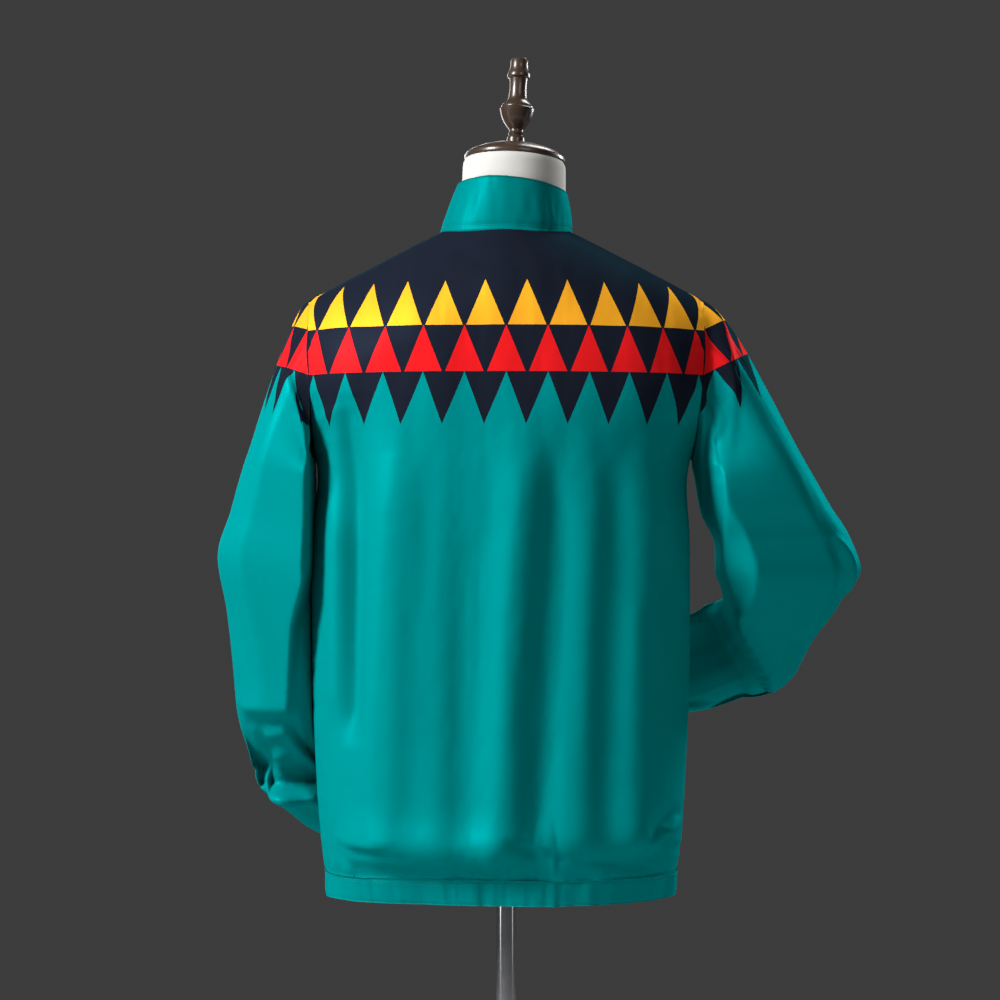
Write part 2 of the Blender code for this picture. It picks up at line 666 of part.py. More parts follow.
def sleeve_fold_height(side, rows):
    """How far the folds raise each point of a sleeve. Rows before the first ring count back from it."""
    at = ((np.arange(rows) - CAP_ROWS) / RING_STEPS)[:, None]
    angle = 360 * np.arange(2 * YOKE_ROWS)[None, :] / (2 * YOKE_ROWS)
    height = np.zeros((rows, 2 * YOKE_ROWS))
    for fold in SLEEVE_FOLDS[side]:
        along = np.clip((at - fold.first) / (fold.last - fold.first), 0, 1)
        middle = fold.angle_first + (fold.angle_last - fold.angle_first) * along
        off = (angle - middle + 180) % 360 - 180
        height += fold.rise * np.sin(math.pi * along) ** 0.8 * np.exp(-((off / fold.spread) ** 2))
    return height * smoothstep(0, 3, np.arange(rows))[:, None]


def sleeve_grid(side):
    """A sleeve's mid-wall points from the armhole to the cuff seam, and its outward normals."""
    start, leaves, start_outward = armhole_ring(side)
    rings = sleeve_rings(side)
    slopes = np.gradient(rings, axis=0)
    first = rings[0]
    reach = np.linalg.norm(first - start, axis=1)[:, None]
    lead = start + leaves * np.maximum(CAP_LEAD[side] * reach, 0.006)
    arrive = first - unit(slopes[0]) * np.maximum(0.36 * reach, 0.004)
    rows = [
        start * (1 - t) ** 3 + 3 * lead * t * (1 - t) ** 2 + 3 * arrive * t * t * (1 - t) + first * t**3
        for t in (np.arange(CAP_ROWS) / CAP_ROWS) ** 1.25
    ]
    for k in range(len(rings) - 1):
        for t in np.arange(RING_STEPS) / RING_STEPS:
            rows.append(
                rings[k] * (1 + 2 * t) * (1 - t) ** 2
                + rings[k + 1] * t * t * (3 - 2 * t)
                + slopes[k] * t * (1 - t) ** 2
                - slopes[k + 1] * t * t * (1 - t)
            )
    rows.append(rings[-1])
    points = np.array(rows)
    points += sleeve_fold_height(side, len(rows))[..., None] * side * grid_normals(points, wrap=True)
    points[1:] = clear_of_body(points[1:], side)
    outward = side * grid_normals(points, wrap=True)
    outward[0] = start_outward
    return points, outward


def cuff_grid(side, sleeve):
    """A cuff's points: the sleeve's last ring carried on and drawn in."""
    last = sleeve[-1]
    run = unit(last.mean(0) - sleeve[-3].mean(0))
    start = last + run * GAP
    centre = start.mean(0)
    rows = []
    for share in np.linspace(0, 1, 3):
        scale = 1 + (CUFF_DRAW_IN - 1) * share
        rows.append(centre + (start - centre) * scale + run * CUFF_LENGTH * share)
    points = np.array(rows)
    return points, side * grid_normals(points, wrap=True)


def make_sleeves(finish):
    for side, word in ((LEFT, "left"), (RIGHT, "right")):
        points, outward = sleeve_grid(side)
        cuff, cuff_outward = cuff_grid(side, points)
        outward[-1] = cuff_outward[0]
        cloth("sleeve_" + word, points, outward, finish, wrap=True)
        cloth("cuff_" + word, cuff, cuff_outward, finish, wrap=True)


# ---------------------------------------------------------------- zip
def zip_edge(side):
    """The garment's first two columns beside the zip, from the hem to the collar's top: points and normals."""
    hem, hem_normals = hem_panel()
    collar, collar_normals = collar_grid()
    front, front_normals = body_panel(FRONT)
    front, front_normals = front_half(front, front_normals, side)
    first, second = (0, 1) if side == LEFT else (-1, -2)
    points = [np.concatenate([hem[:, c], front[1:, k], collar[1:, c]]) for c, k in ((first, 0), (second, 1))]
    normals = [
        np.concatenate([hem_normals[:, c], front_normals[1:, k], collar_normals[1:, c]])
        for c, k in ((first, 0), (second, 1))
    ]
    return points, normals


def zip_path():
    """Up the middle of the front, from the hem to the collar's top edge: mid-wall points (y, z) at the zip's edge."""
    return zip_edge(LEFT)[0][0][:, 1:]


def make_tape(name, side, finish):
    """A tape behind one front edge, parallel to the cloth it's sewn to."""
    (near, far), (near_normals, far_normals) = zip_edge(side)
    points, normals = [], []
    for x in (TAPE_INNER, (TAPE_INNER + TAPE_OUTER) / 2, TAPE_OUTER):
        share = ((side * x - near[:, 0]) / (far[:, 0] - near[:, 0]))[:, None]
        normal = near_normals + (far_normals - near_normals) * np.maximum(share, 0)
        normal[:, 0] *= 0.5
        normal = unit(normal)
        points.append(near + (far - near) * share - normal * (WALL / 2 + GAP + 0.0001 + TAPE_THICK / 2))
        normals.append(normal)
    points, normals = np.stack(points, axis=1), np.stack(normals, axis=1)
    points[..., 0] = side * np.array([TAPE_INNER, (TAPE_INNER + TAPE_OUTER) / 2, TAPE_OUTER])
    normals[..., 0] = 0
    cloth(name, points, unit(normals), finish, wall=TAPE_THICK)


def path_frame(line):
    """Unit directions along a (y, z) path and forwards from it."""
    along = unit(np.gradient(line, axis=0))
    return along, np.stack([-along[:, 1], along[:, 0]], axis=1)


def strip(name, line, middle, thick, x_low, x_high, finish):
    """A flat strip that follows the path at a depth forwards of it."""
    _, forwards = path_frame(line)
    bm = bmesh.new()
    rings = []
    for point, ahead in zip(line, forwards):
        ring = []
        for x, side in ((x_low, 1), (x_high, 1), (x_high, -1), (x_low, -1)):
            y, z = point + ahead * (middle + side * thick / 2)
            ring.append(bm.verts.new((x, y, z)))
        rings.append(ring)
    for low, high in zip(rings, rings[1:]):
        for k in range(4):
            bm.faces.new((low[k], low[(k + 1) % 4], high[(k + 1) % 4], high[k]))
    bm.faces.new(rings[0][::-1])
    bm.faces.new(rings[-1])
    return add_object(name, bm, finish)


def prism(bm, outline, matrix, thick):
    """A plate: an outline of (x, up) points, `thick` deep about its own plane, placed by a matrix."""
    front = [bm.verts.new(matrix @ Vector((x, -thick / 2, up))) for x, up in outline]
    back = [bm.verts.new(matrix @ Vector((x, thick / 2, up))) for x, up in outline]
    count = len(outline)
    bm.faces.new(front)
    bm.faces.new(back[::-1])
    for k in range(count):
        bm.faces.new((front[k], back[k], back[(k + 1) % count], front[(k + 1) % count]))


def join(name, pieces, finish):
    """One solid from several overlapping ones."""
    whole = pieces[0]
    for other in pieces[1:]:
        modifier = whole.modifiers.new("join", "BOOLEAN")
        modifier.operation, modifier.solver, modifier.object = "UNION", "EXACT", other
        bpy.context.view_layer.update()
        made = bpy.data.meshes.new_from_object(whole.evaluated_get(bpy.context.evaluated_depsgraph_get()))
        whole.modifiers.clear()
        whole.data = made
        bpy.data.objects.remove(other, do_unlink=True)
    whole.name = name
    whole.data.name = name
    whole.data.materials.clear()
    whole.data.materials.append(finish)
    whole.data.shade_smooth()
    whole.data.set_sharp_from_angle(angle=math.radians(30))
    return whole


def block(x_half, y_low, y_high, z_low, z_high, matrix, finish):
    bm = bmesh.new()
    outline = ((-x_half, z_low), (x_half, z_low), (x_half, z_high), (-x_half, z_high))
    shift = Matrix.Translation((0, (y_low + y_high) / 2, 0))
    prism(bm, outline, matrix @ shift, y_high - y_low)
    return add_object("piece", bm, finish)


def slider_place(line):
    """The slider's own frame, z up along the zip and y backwards, at its middle."""
    along, forwards = path_frame(line)
    top = line[-1]
    run, ahead = along[-1], forwards[-1]
    middle = top - run * SLIDER_DOWN
    place = Matrix.Identity(4)
    place.col[1][:3] = (0, -ahead[0], -ahead[1])
    place.col[2][:3] = (0, run[0], run[1])
    place.translation = (0, middle[0], middle[1])
    return place


def make_zip(tape_finish, metal):
    line = zip_path()
    behind = -(WALL / 2 + GAP + 0.0001 + TAPE_THICK / 2)
    for side, word in ((LEFT, "left"), (RIGHT, "right")):
        make_tape("zip_tape_" + word, side, tape_finish)
    place = slider_place(line)
    _, ahead = path_frame(line)
    place = Matrix.Translation(Vector((0, ahead[-1][0], ahead[-1][1])) * behind) @ place
    along, _ = path_frame(line)
    below_top = np.linalg.norm(line - line[-1], axis=1)
    chain = np.concatenate([line[below_top > SLIDER_DOWN + 0.002], [line[-1] - along[-1] * (SLIDER_DOWN + 0.001)]])
    strip("zip_chain", chain, behind, CHAIN_THICK, -CHAIN_HALF, CHAIN_HALF, metal)

    front = CHAIN_THICK / 2 + GAP
    half = SLIDER_LENGTH / 2
    outline = (
        (-SLIDER_HALF_BOTTOM, -half),
        (SLIDER_HALF_BOTTOM, -half),
        (SLIDER_HALF_TOP, half - 0.003),
        (SLIDER_HALF_TOP - 0.0012, half),
        (-SLIDER_HALF_TOP + 0.0012, half),
        (-SLIDER_HALF_TOP, half - 0.003),
    )
    pieces = []
    for middle in (-(front + PLATE_THICK / 2), front + PLATE_THICK / 2):
        bm = bmesh.new()
        prism(bm, outline, place @ Matrix.Translation((0, middle, 0)), PLATE_THICK)
        pieces.append(add_object("piece", bm, metal))
    reach = front + PLATE_THICK / 2
    pieces.append(block(POST_HALF, -reach, reach, half - 0.0008 - POST_LENGTH, half - 0.0008, place, metal))
    face = -(front + PLATE_THICK)
    bridge_top = face - BRIDGE_RISE
    for z_low in (-BRIDGE_SPAN / 2, BRIDGE_SPAN / 2 - BRIDGE_THICK):
        pieces.append(
            block(BRIDGE_HALF, bridge_top, face + PLATE_THICK / 2, z_low, z_low + BRIDGE_THICK, place, metal)
        )
    pieces.append(
        block(BRIDGE_HALF, bridge_top, bridge_top + BRIDGE_THICK, -BRIDGE_SPAN / 2, BRIDGE_SPAN / 2, place, metal)
    )
    join("zip_slider", pieces, metal)
    make_pull(place, (bridge_top + BRIDGE_THICK + face) / 2, metal)


def make_pull(place, pin_y, metal):
    """The pull tab, lying down the zip from its pin under the slider's bridge."""
    hang = place @ Matrix.Translation((0, pin_y, PULL_PIN_UP))
    arms = PULL_ARM_GAP + PULL_ARM_WIDTH
    pieces = []
    for side in (1, -1):
        bm = bmesh.new()
        low, high = sorted((side * PULL_ARM_GAP, side * arms))
        outline = ((low, -PULL_EYE - 0.001), (high, -PULL_EYE - 0.001), (high, 0.0008), (low, 0.0008))
        prism(bm, outline, hang, PULL_THICK)
        pieces.append(add_object("piece", bm, metal))
    bm = bmesh.new()
    rings = [
        [
            bm.verts.new(hang @ Vector((x, PIN_RADIUS * math.cos(a), PIN_RADIUS * math.sin(a))))
            for a in (2 * math.pi * (k + 0.5) / 8 for k in range(8))
        ]
        for x in (-arms + 0.0003, arms - 0.0003)
    ]
    for k in range(8):
        bm.faces.new((rings[0][k], rings[0][(k + 1) % 8], rings[1][(k + 1) % 8], rings[1][k]))
    bm.faces.new(rings[0][::-1])
    bm.faces.new(rings[1])
    pieces.append(add_object("piece", bm, metal))
    bm = bmesh.new()
    tip = -PULL_LENGTH
    outline = [(-arms, -PULL_EYE), (-PULL_HALF, -PULL_EYE - 0.003)]
    outline += [
        (-PULL_HALF * math.cos(a), tip + PULL_HALF - PULL_HALF * math.sin(a))
        for a in (math.pi * k / 6 for k in range(7))
    ]
    outline += [(PULL_HALF, -PULL_EYE - 0.003), (arms, -PULL_EYE)]
    prism(bm, outline, hang, PULL_THICK)
    pieces.append(add_object("piece", bm, metal))
    pull = join("zip_pull", pieces, metal)
    pull.data.transform(hang.inverted())
    pull.matrix_world = hang


# ---------------------------------------------------------------- dress form and stand
def neck_place():
    """The frame of the neck's top: its middle, leaning and nodding with the neck."""
    lean = Matrix.Rotation(-NECK_LEAN, 4, "Y") @ Matrix.Rotation(NECK_NOD, 4, "X")
    return Matrix.Translation(NECK_TOP) @ lean


def make_form(finish):
    """Torso, arm ends and neck as one closed body."""
    grids = {face: body_grid(face, DRESS_FORM) for face in (BACK, FRONT)}
    rows, columns = grids[BACK].shape[:2]
    first_yoke = DRESS_FORM.body_rows
    side = DRESS_FORM.side_columns
    neck_from, neck_to = side, side + DRESS_FORM.neck_columns
    bm = bmesh.new()
    shared = {}

    def vertex(face, i, j):
        on_side = j in (0, columns - 1) and i <= first_yoke
        on_shoulder = i == rows - 1 and not neck_from < j < neck_to
        key = (0 if on_side or on_shoulder else face, i, j)
        if key not in shared:
            x, y, z = grids[face][i, j]
            shared[key] = bm.verts.new((x, 0 if key[0] == 0 else y, z))
        return shared[key]

    for face in (BACK, FRONT):
        for i in range(rows - 1):
            for j in range(columns - 1):
                corners = [vertex(face, a, b) for a, b in ((i, j), (i, j + 1), (i + 1, j + 1), (i + 1, j))]
                bm.faces.new(corners)
    for j, out in ((0, -1), (columns - 1, 1)):
        loop = [vertex(BACK, i, j) for i in range(first_yoke, rows)]
        loop += [vertex(FRONT, i, j) for i in range(rows - 2, first_yoke, -1)]
        middle = sum((v.co for v in loop), Vector()) / len(loop)
        swell = [
            [
                bm.verts.new(v.co + (middle - v.co) * share + Vector((out * rise * ARM_END_BULGE, 0, 0)))
                for v in loop
            ]
            for share, rise in ((0.10, 0.45), (0.40, 0.85))
        ]
        for low, high in zip([loop] + swell, swell):
            for k in range(len(loop)):
                n = (k + 1) % len(loop)
                bm.faces.new((low[k], low[n], high[n], high[k]))
        bm.faces.new(swell[-1])
    bottom = [vertex(BACK, 0, j) for j in range(columns)] + [vertex(FRONT, 0, j) for j in range(columns - 2, 0, -1)]
    bm.faces.new(bottom)
    loop = [vertex(BACK, rows - 1, j) for j in range(neck_to, neck_from - 1, -1)]
    loop += [vertex(FRONT, rows - 1, j) for j in range(neck_from + 1, neck_to)]
    top = neck_place()
    root = [v.co.copy() for v in loop]
    for row in range(1, NECK_ROWS + 1):
        share = row / NECK_ROWS
        ring = []
        for v in root:
            depth = DRESS_FORM.neck_depth[BACK if v.y > 0 else FRONT]
            angle = math.atan2(v.y / depth, v.x / DRESS_FORM.neck_half)
            end = top @ Vector((NECK_RADIUS * math.cos(angle), NECK_RADIUS * math.sin(angle), -NECK_EDGE[0].drop))
            bend = Vector((end.x, end.y, v.z + (end.z - v.z) * 0.35))
            ring.append(bm.verts.new(v * (1 - share) ** 2 + bend * 2 * share * (1 - share) + end * share**2))
        for k in range(len(loop)):
            n = (k + 1) % len(loop)
            bm.faces.new((loop[k], loop[n], ring[n], ring[k]))
        loop = ring
    for edge in NECK_EDGE[1:]:
        ring = []
        for v in root:
            depth = DRESS_FORM.neck_depth[BACK if v.y > 0 else FRONT]
            angle = math.atan2(v.y / depth, v.x / DRESS_FORM.neck_half)
            ring.append(
                bm.verts.new(top @ Vector((edge.radius * math.cos(angle), edge.radius * math.sin(angle), -edge.drop)))
            )
        for k in range(len(loop)):
            n = (k + 1) % len(loop)
            bm.faces.new((loop[k], loop[n], ring[n], ring[k]))
        loop = ring
    bm.faces.new(loop)
    add_object("form_body", bm, finish, smooth_angle=60)


def make_stand(wood, metal):
    top = neck_place()
    cap_seat = top @ Matrix.Translation((0, 0, GAP))
    turned("neck_cap", CAP_PROFILE, wood, 36, cap_seat)
    finial_seat = top @ Matrix.Translation((0, 0, GAP + CAP_PROFILE[-1].height + GAP - FINIAL_PROFILE[0].height))
    turned("finial", FINIAL_PROFILE, wood, 16, finial_seat)
    turned("base", BASE_PROFILE, metal, 40)
    foot = BASE_PROFILE[-1].height + GAP
    pole = (TurnedPoint(foot, POLE_RADIUS), TurnedPoint(FORM_BOTTOM - GAP, POLE_RADIUS))
    turned("pole", pole, metal, 24)


# ---------------------------------------------------------------- the whole
def main():
    for old in list(bpy.data.objects):
        bpy.data.objects.remove(old, do_unlink=True)
    teal = material("teal_satin", (0.0, 0.27, 0.26), 0.38)
    tape = material("zip_tape", (0.0, 0.20, 0.20), 0.7)
    silver = material("zip_metal", (0.6, 0.6, 0.6), 0.3, 1.0)
    canvas = material("form_cover", (0.66, 0.64, 0.60), 0.85)
    wood = material("dark_wood", (0.045, 0.022, 0.014), 0.25)
    chrome = material("chrome", (0.75, 0.75, 0.75), 0.12, 1.0)
    make_back(teal)
    make_fronts(teal)
    make_hem(teal)
    make_collar(teal)
    make_sleeves(teal)
    make_zip(tape, silver)
    make_form(canvas)
    make_stand(wood, chrome)


main()
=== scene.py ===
"""The windbreaker on its dress form, dressed for the picture: thin cloth in place of the plain solids.

Metres, +Z up, the frame of the solids; only the tables are in millimetres. The garment's front faces -Y, so
the wearer's left is +X, and the picture shows the back. Every cloth piece is worked out from the same tables
as its solid, on a finer grid, with creases added.
"""

import math
from collections import namedtuple
from functools import lru_cache

import bmesh
import bpy
import numpy as np
from mathutils import Matrix, Vector


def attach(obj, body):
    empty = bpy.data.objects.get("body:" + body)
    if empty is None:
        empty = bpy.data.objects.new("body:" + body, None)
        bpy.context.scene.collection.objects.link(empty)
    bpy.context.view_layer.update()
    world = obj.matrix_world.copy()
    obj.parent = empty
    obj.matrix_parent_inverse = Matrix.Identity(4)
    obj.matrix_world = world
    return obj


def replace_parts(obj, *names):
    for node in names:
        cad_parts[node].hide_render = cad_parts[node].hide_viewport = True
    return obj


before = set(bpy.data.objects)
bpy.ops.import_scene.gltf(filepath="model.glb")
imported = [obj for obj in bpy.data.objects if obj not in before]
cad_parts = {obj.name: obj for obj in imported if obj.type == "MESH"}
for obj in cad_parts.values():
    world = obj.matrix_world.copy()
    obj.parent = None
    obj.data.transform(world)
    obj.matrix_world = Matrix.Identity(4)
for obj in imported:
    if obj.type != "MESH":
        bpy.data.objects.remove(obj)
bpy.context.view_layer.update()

# ---------------------------------------------------------------- driving sizes
WALL = 0.0015  # cloth
GAP = 0.0003  # between pieces at a seam, and from the garment to what carries it
BACK, FRONT = 1, -1  # which way a body panel faces along Y
LEFT, RIGHT = 1, -1  # the wearer's side, along X

HEM_BOTTOM = 0.777
HEM_TOP = 0.803
UNDERARM = 1.238
RIDGE_TOP = 1.505  # where the two shoulder lines would meet on the middle
SHOULDER_SLOPE = 0.533
RIDGE_ROUND = 0.03
SHOULDER_TIP_X = 0.210
UNDERARM_X = 0.200
ARCH = {BACK: 0.120, FRONT: 0.150}  # how far below the ridge a panel reaches its full depth
SQUARENESS = 2.3  # of the body's sections: 2 is an ellipse
NECK_HALF_WIDTH = 0.0712
NECK_DEPTH = {BACK: 0.064, FRONT: 0.082}

COLLAR_TOP_HALF_WIDTH = 0.0588
COLLAR_TOP_DEPTH = {BACK: 0.0588, FRONT: 0.0650}
COLLAR_TOP_Z = {BACK: 1.533, FRONT: 1.508}
COLLAR_SIDE_TOP_Z = 1.527
COLLAR_BULGE = 0.0012
COLLAR_ROLL = 0.085  # its top edge drops towards the wearer's right
COLLAR_LEAN = -0.0068  # the form's neck leans a little to the wearer's right
ZIP_HALF = 0.0042  # from the middle to each front edge

# ---------------------------------------------------------------- tables
def in_mm(kind, *rows):
    """A table's rows, written in millimetres, under their names and in metres."""
    return tuple(kind(*(value / 1000 for value in row)) for row in rows)


Section = namedtuple("Section", "height half_width back front")
BODY = in_mm(
    Section,
    (777, 187, 113, 115), (803, 187.2, 113.5, 115.5), (820, 189.2, 119.5, 120), (850, 192.2, 123.5, 124),
    (950, 198.5, 122, 122.5), (1060, 201.2, 121, 124), (1150, 201.2, 123, 127), (1238, 200, 125, 130),
    (1310, 233, 124, 129), (1400, 245, 113, 118), (1480, 245, 97, 106), (1560, 245, 90, 100),
)

# A fold runs down a panel. It is a ridge, or a trough where its rise is negative.
Fold = namedtuple("Fold", "top_x bottom_x top_z bottom_z width rise")
FOLDS = {
    BACK: in_mm(
        Fold,
        (176, 176, 1300, 980, 12, 4.5), (158, 160, 1280, 960, 12, -6), (108, 131, 1330, 830, 26, 9.5),
        (66, 74, 1220, 840, 16, 2.2), (26, 38, 1240, 840, 24, -5), (-24, 10, 1330, 830, 26, 9.5),
        (-52, -30, 1300, 830, 17, -6.5), (-86, -74, 1280, 840, 20, 4.5), (-113, -102, 1280, 840, 18, -4.5),
        (-151, -131, 1300, 840, 22, 7),
    ),
    FRONT: in_mm(
        Fold,
        (150, 150, 1300, 840, 22, 6), (112, 104, 1260, 840, 20, -5), (70, 60, 1300, 830, 22, 6.5),
        (-64, -52, 1320, 830, 24, 7), (-108, -98, 1270, 840, 20, -5), (-150, -146, 1300, 850, 20, 5.5),
    ),
}

# Sleeve rings from the armhole to the cuff seam, each by its two ends across: inner and outer on the upper
# arm, top and bottom on the forearm. x counts outwards from the middle, and `depth` is the half size square
# to that. SWINGS turn each ring's direction from straight back towards the body, in degrees.
SleeveRing = namedtuple("SleeveRing", "inner_x inner_z outer_x outer_z y depth")
SLEEVES = {
    LEFT: in_mm(
        SleeveRing,
        (203, 1214, 279, 1234, -4, 70), (203.5, 1165, 294.5, 1184, -10, 69),
        (204, 1110, 309.5, 1136, -14, 67), (204.5, 1052, 298.5, 1076, -16, 64),
        (205, 1000, 289, 1016, -18, 60), (206, 966, 280.5, 958, -24, 55), (208, 950, 272, 904, -38, 50),
        (211, 940, 259, 876, -56, 46), (206, 927, 240, 857, -80, 43), (195, 912, 222, 840, -106, 41),
        (178, 894, 200, 822, -138, 38), (160, 876, 178, 811, -168, 34),
    ),
    RIGHT: in_mm(
        SleeveRing,
        (203, 1214, 322.5, 1231, -4, 68), (209.5, 1180, 347, 1190, -10, 68),
        (223.5, 1150, 367, 1158, -14, 66), (227, 1118, 378, 1120, -18, 61), (236, 1101, 365, 1092, -26, 56),
        (241.5, 1093, 350, 1065, -36, 52), (244.5, 1088.5, 334, 1040, -46, 49),
        (242.5, 1086, 300, 989, -60, 46), (229, 1080, 261, 973, -82, 44),
        (207.5, 1068, 230, 962.5, -106, 42), (180, 1053, 199, 957, -136, 38),
        (152, 1036, 167, 953, -165, 34),
    ),
}
SWINGS = {
    LEFT: (0, 4, 8, 14, 22, 32, 42, 50, 55, 57, 57, 56),
    RIGHT: (0, 4, 9, 16, 24, 31, 37, 43, 46, 47, 47, 47),
}
# A fold along a sleeve, from one ring to another, at an angle round it: 0 inner, 90 back, 180 outer,
# 270 front.
SleeveFold = namedtuple("SleeveFold", "first last angle_first angle_last spread rise")
SLEEVE_FOLDS = {
    LEFT: (
        SleeveFold(-3.0, 4.5, 100, 120, 22, 0.0050), SleeveFold(-1.0, 4.6, 62, 84, 20, -0.0055),
        SleeveFold(-2.0, 4.0, 148, 150, 20, -0.0040), SleeveFold(-2.0, 5.0, 262, 250, 26, 0.0050),
        SleeveFold(-1.0, 4.5, 300, 292, 22, -0.0045), SleeveFold(4.8, 9.0, 200, 195, 26, 0.0040),
        SleeveFold(5.2, 9.5, 150, 150, 22, -0.0045),
    ),
    RIGHT: (
        SleeveFold(-5.5, 1.4, 84, 70, 20, -0.0060), SleeveFold(-5.5, 3.0, 118, 104, 24, 0.0050),
        SleeveFold(-3.0, 4.0, 262, 250, 26, 0.0050), SleeveFold(-2.0, 3.5, 300, 292, 22, -0.0045),
        SleeveFold(5.5, 9.5, 205, 200, 26, 0.0040), SleeveFold(6.0, 10.0, 150, 150, 22, -0.0040),
    ),
}
CAP_LEAD = {LEFT: 0.10, RIGHT: 0.20}  # share of its reach that the sleeve head runs on before it turns down
UNDERARM_FOLD = math.radians(155)  # turn of the sleeve back on the body at the underarm
CUFF_LENGTH = 0.028
CUFF_DRAW_IN = 0.90  # its elastic draws the end in to this share

# Grid counts
SIDE_COLUMNS = 45  # from the neck's side to the edge of a panel
NECK_COLUMNS = 60
BODY_ROWS = 110
YOKE_ROWS = 60  # from the underarm to the shoulder seam
AROUND = 2 * YOKE_ROWS  # columns of a sleeve
CAP_ROWS = 36
COLLAR_ROWS = 20
HEM_ROWS = 12
CUFF_ROWS = 12
RING_STEPS = 12  # sleeve rows from one ring of the table to the next
EVENED = {"zip": 4, "collar": 8}  # columns beside the zip that are spaced evenly
BESIDE_ZIP = 5  # the column that gives the cloth's direction beside the zip

# ---------------------------------------------------------------- dress form and stand
FORM = in_mm(
    Section,
    (820, 158, 92, 90), (900, 168, 104, 94), (1000, 160, 96, 92), (1120, 158, 94, 98),
    (1238, 172, 106, 112), (1310, 215, 112, 116), (1400, 232, 102, 106), (1480, 236, 87, 95),
    (1560, 236, 80, 88),
)
FORM_BOTTOM = 0.820
# how far the form's shoulders lie below the cloth's
SEAT = (WALL / 2 + GAP + 0.0004) / math.cos(math.atan(SHOULDER_SLOPE))
NECK_TOP = (-0.0093, -0.002, 1.5575)  # middle of the neck's top
NECK_LEAN = math.radians(2.8)  # its top leans to the wearer's right
NECK_NOD = math.radians(3.0)  # and nods forwards
NECK_ROWS = 5
NeckEdge = namedtuple("NeckEdge", "drop radius")
NECK_EDGE = in_mm(NeckEdge, (8.5, 55.3), (3.5, 54.8), (0.8, 53.6), (0, 52))
ARM_END_BULGE = 0.010

TurnedPoint = namedtuple("TurnedPoint", "height radius")
CAP_PROFILE = in_mm(
    TurnedPoint,
    (0, 52.8), (1.2, 54), (3.6, 54.2), (5.6, 53), (8.5, 49), (12.5, 40.5), (16, 29.5), (18.5, 18),
    (19.5, 10),
)
FINIAL_PROFILE = in_mm(
    TurnedPoint,
    (-4, 9.5), (0, 9.5), (2.2, 9.2), (4.4, 7.6), (6.6, 8.5), (8.8, 7.4), (10.5, 7.4), (14.5, 10.6),
    (19.5, 14.2), (25.5, 16.9), (31.5, 18.3), (33.2, 18.6), (34.2, 17.6), (36, 17.4), (38.8, 15.2),
    (40.8, 12.6), (42.4, 11), (46, 9.9), (54, 9.1), (62, 9.2), (66.8, 9.8), (67.8, 12), (70.4, 12.5),
    (73.2, 11.4), (75.6, 10.2), (80, 9.6), (86.2, 9.5), (88.5, 8),
)
BASE_PROFILE = in_mm(
    TurnedPoint,
    (0, 174), (2, 175), (8, 175), (10, 173.5), (12, 165), (18, 60), (22, 26), (40, 20), (42, 18.5),
)
POLE_RADIUS = 0.0105
ROUNDED = 38  # edges of turned pieces sharper than this, in degrees, stay sharp
FORM_ROUNDED = 60

# ---------------------------------------------------------------- zip
TAPE_THICK = 0.0010
TAPE_INNER, TAPE_OUTER = 0.0029, 0.0130
TAPE_BEHIND = WALL / 2 + GAP + 0.0001 + TAPE_THICK / 2  # the tape's middle, behind the middle of the wall
SLIDER_DOWN = 0.010  # from the collar's top edge to the slider's middle, along the wall
TOOTH_PITCH, TOOTH_REACH, TOOTH_THICK = 0.0016, 0.0024, 0.0018
ZIP_SEAM_X = 0.0062

Torso = namedtuple(
    "Torso",
    "sections ridge_top tip_x side_x bottom neck_half neck_depth "
    "body_rows yoke_rows neck_columns side_columns",
)
GARMENT = Torso(
    BODY, RIDGE_TOP, SHOULDER_TIP_X, UNDERARM_X, HEM_TOP + GAP, NECK_HALF_WIDTH, NECK_DEPTH,
    BODY_ROWS, YOKE_ROWS, NECK_COLUMNS, SIDE_COLUMNS,
)
DRESS_FORM = Torso(
    sections=FORM, ridge_top=RIDGE_TOP - SEAT, tip_x=0.190, side_x=0.172, bottom=FORM_BOTTOM,
    neck_half=0.0640, neck_depth={BACK: 0.0570, FRONT: 0.0680},
    body_rows=40, yoke_rows=30, neck_columns=40, side_columns=24,
)

# ---------------------------------------------------------------- creases and puckers
THIN = 0.0005  # the cloth as it shows
HEM_SWAY = 0.0055  # how far the lower part hangs to the wearer's left
HEM_SEAM = 0.8005

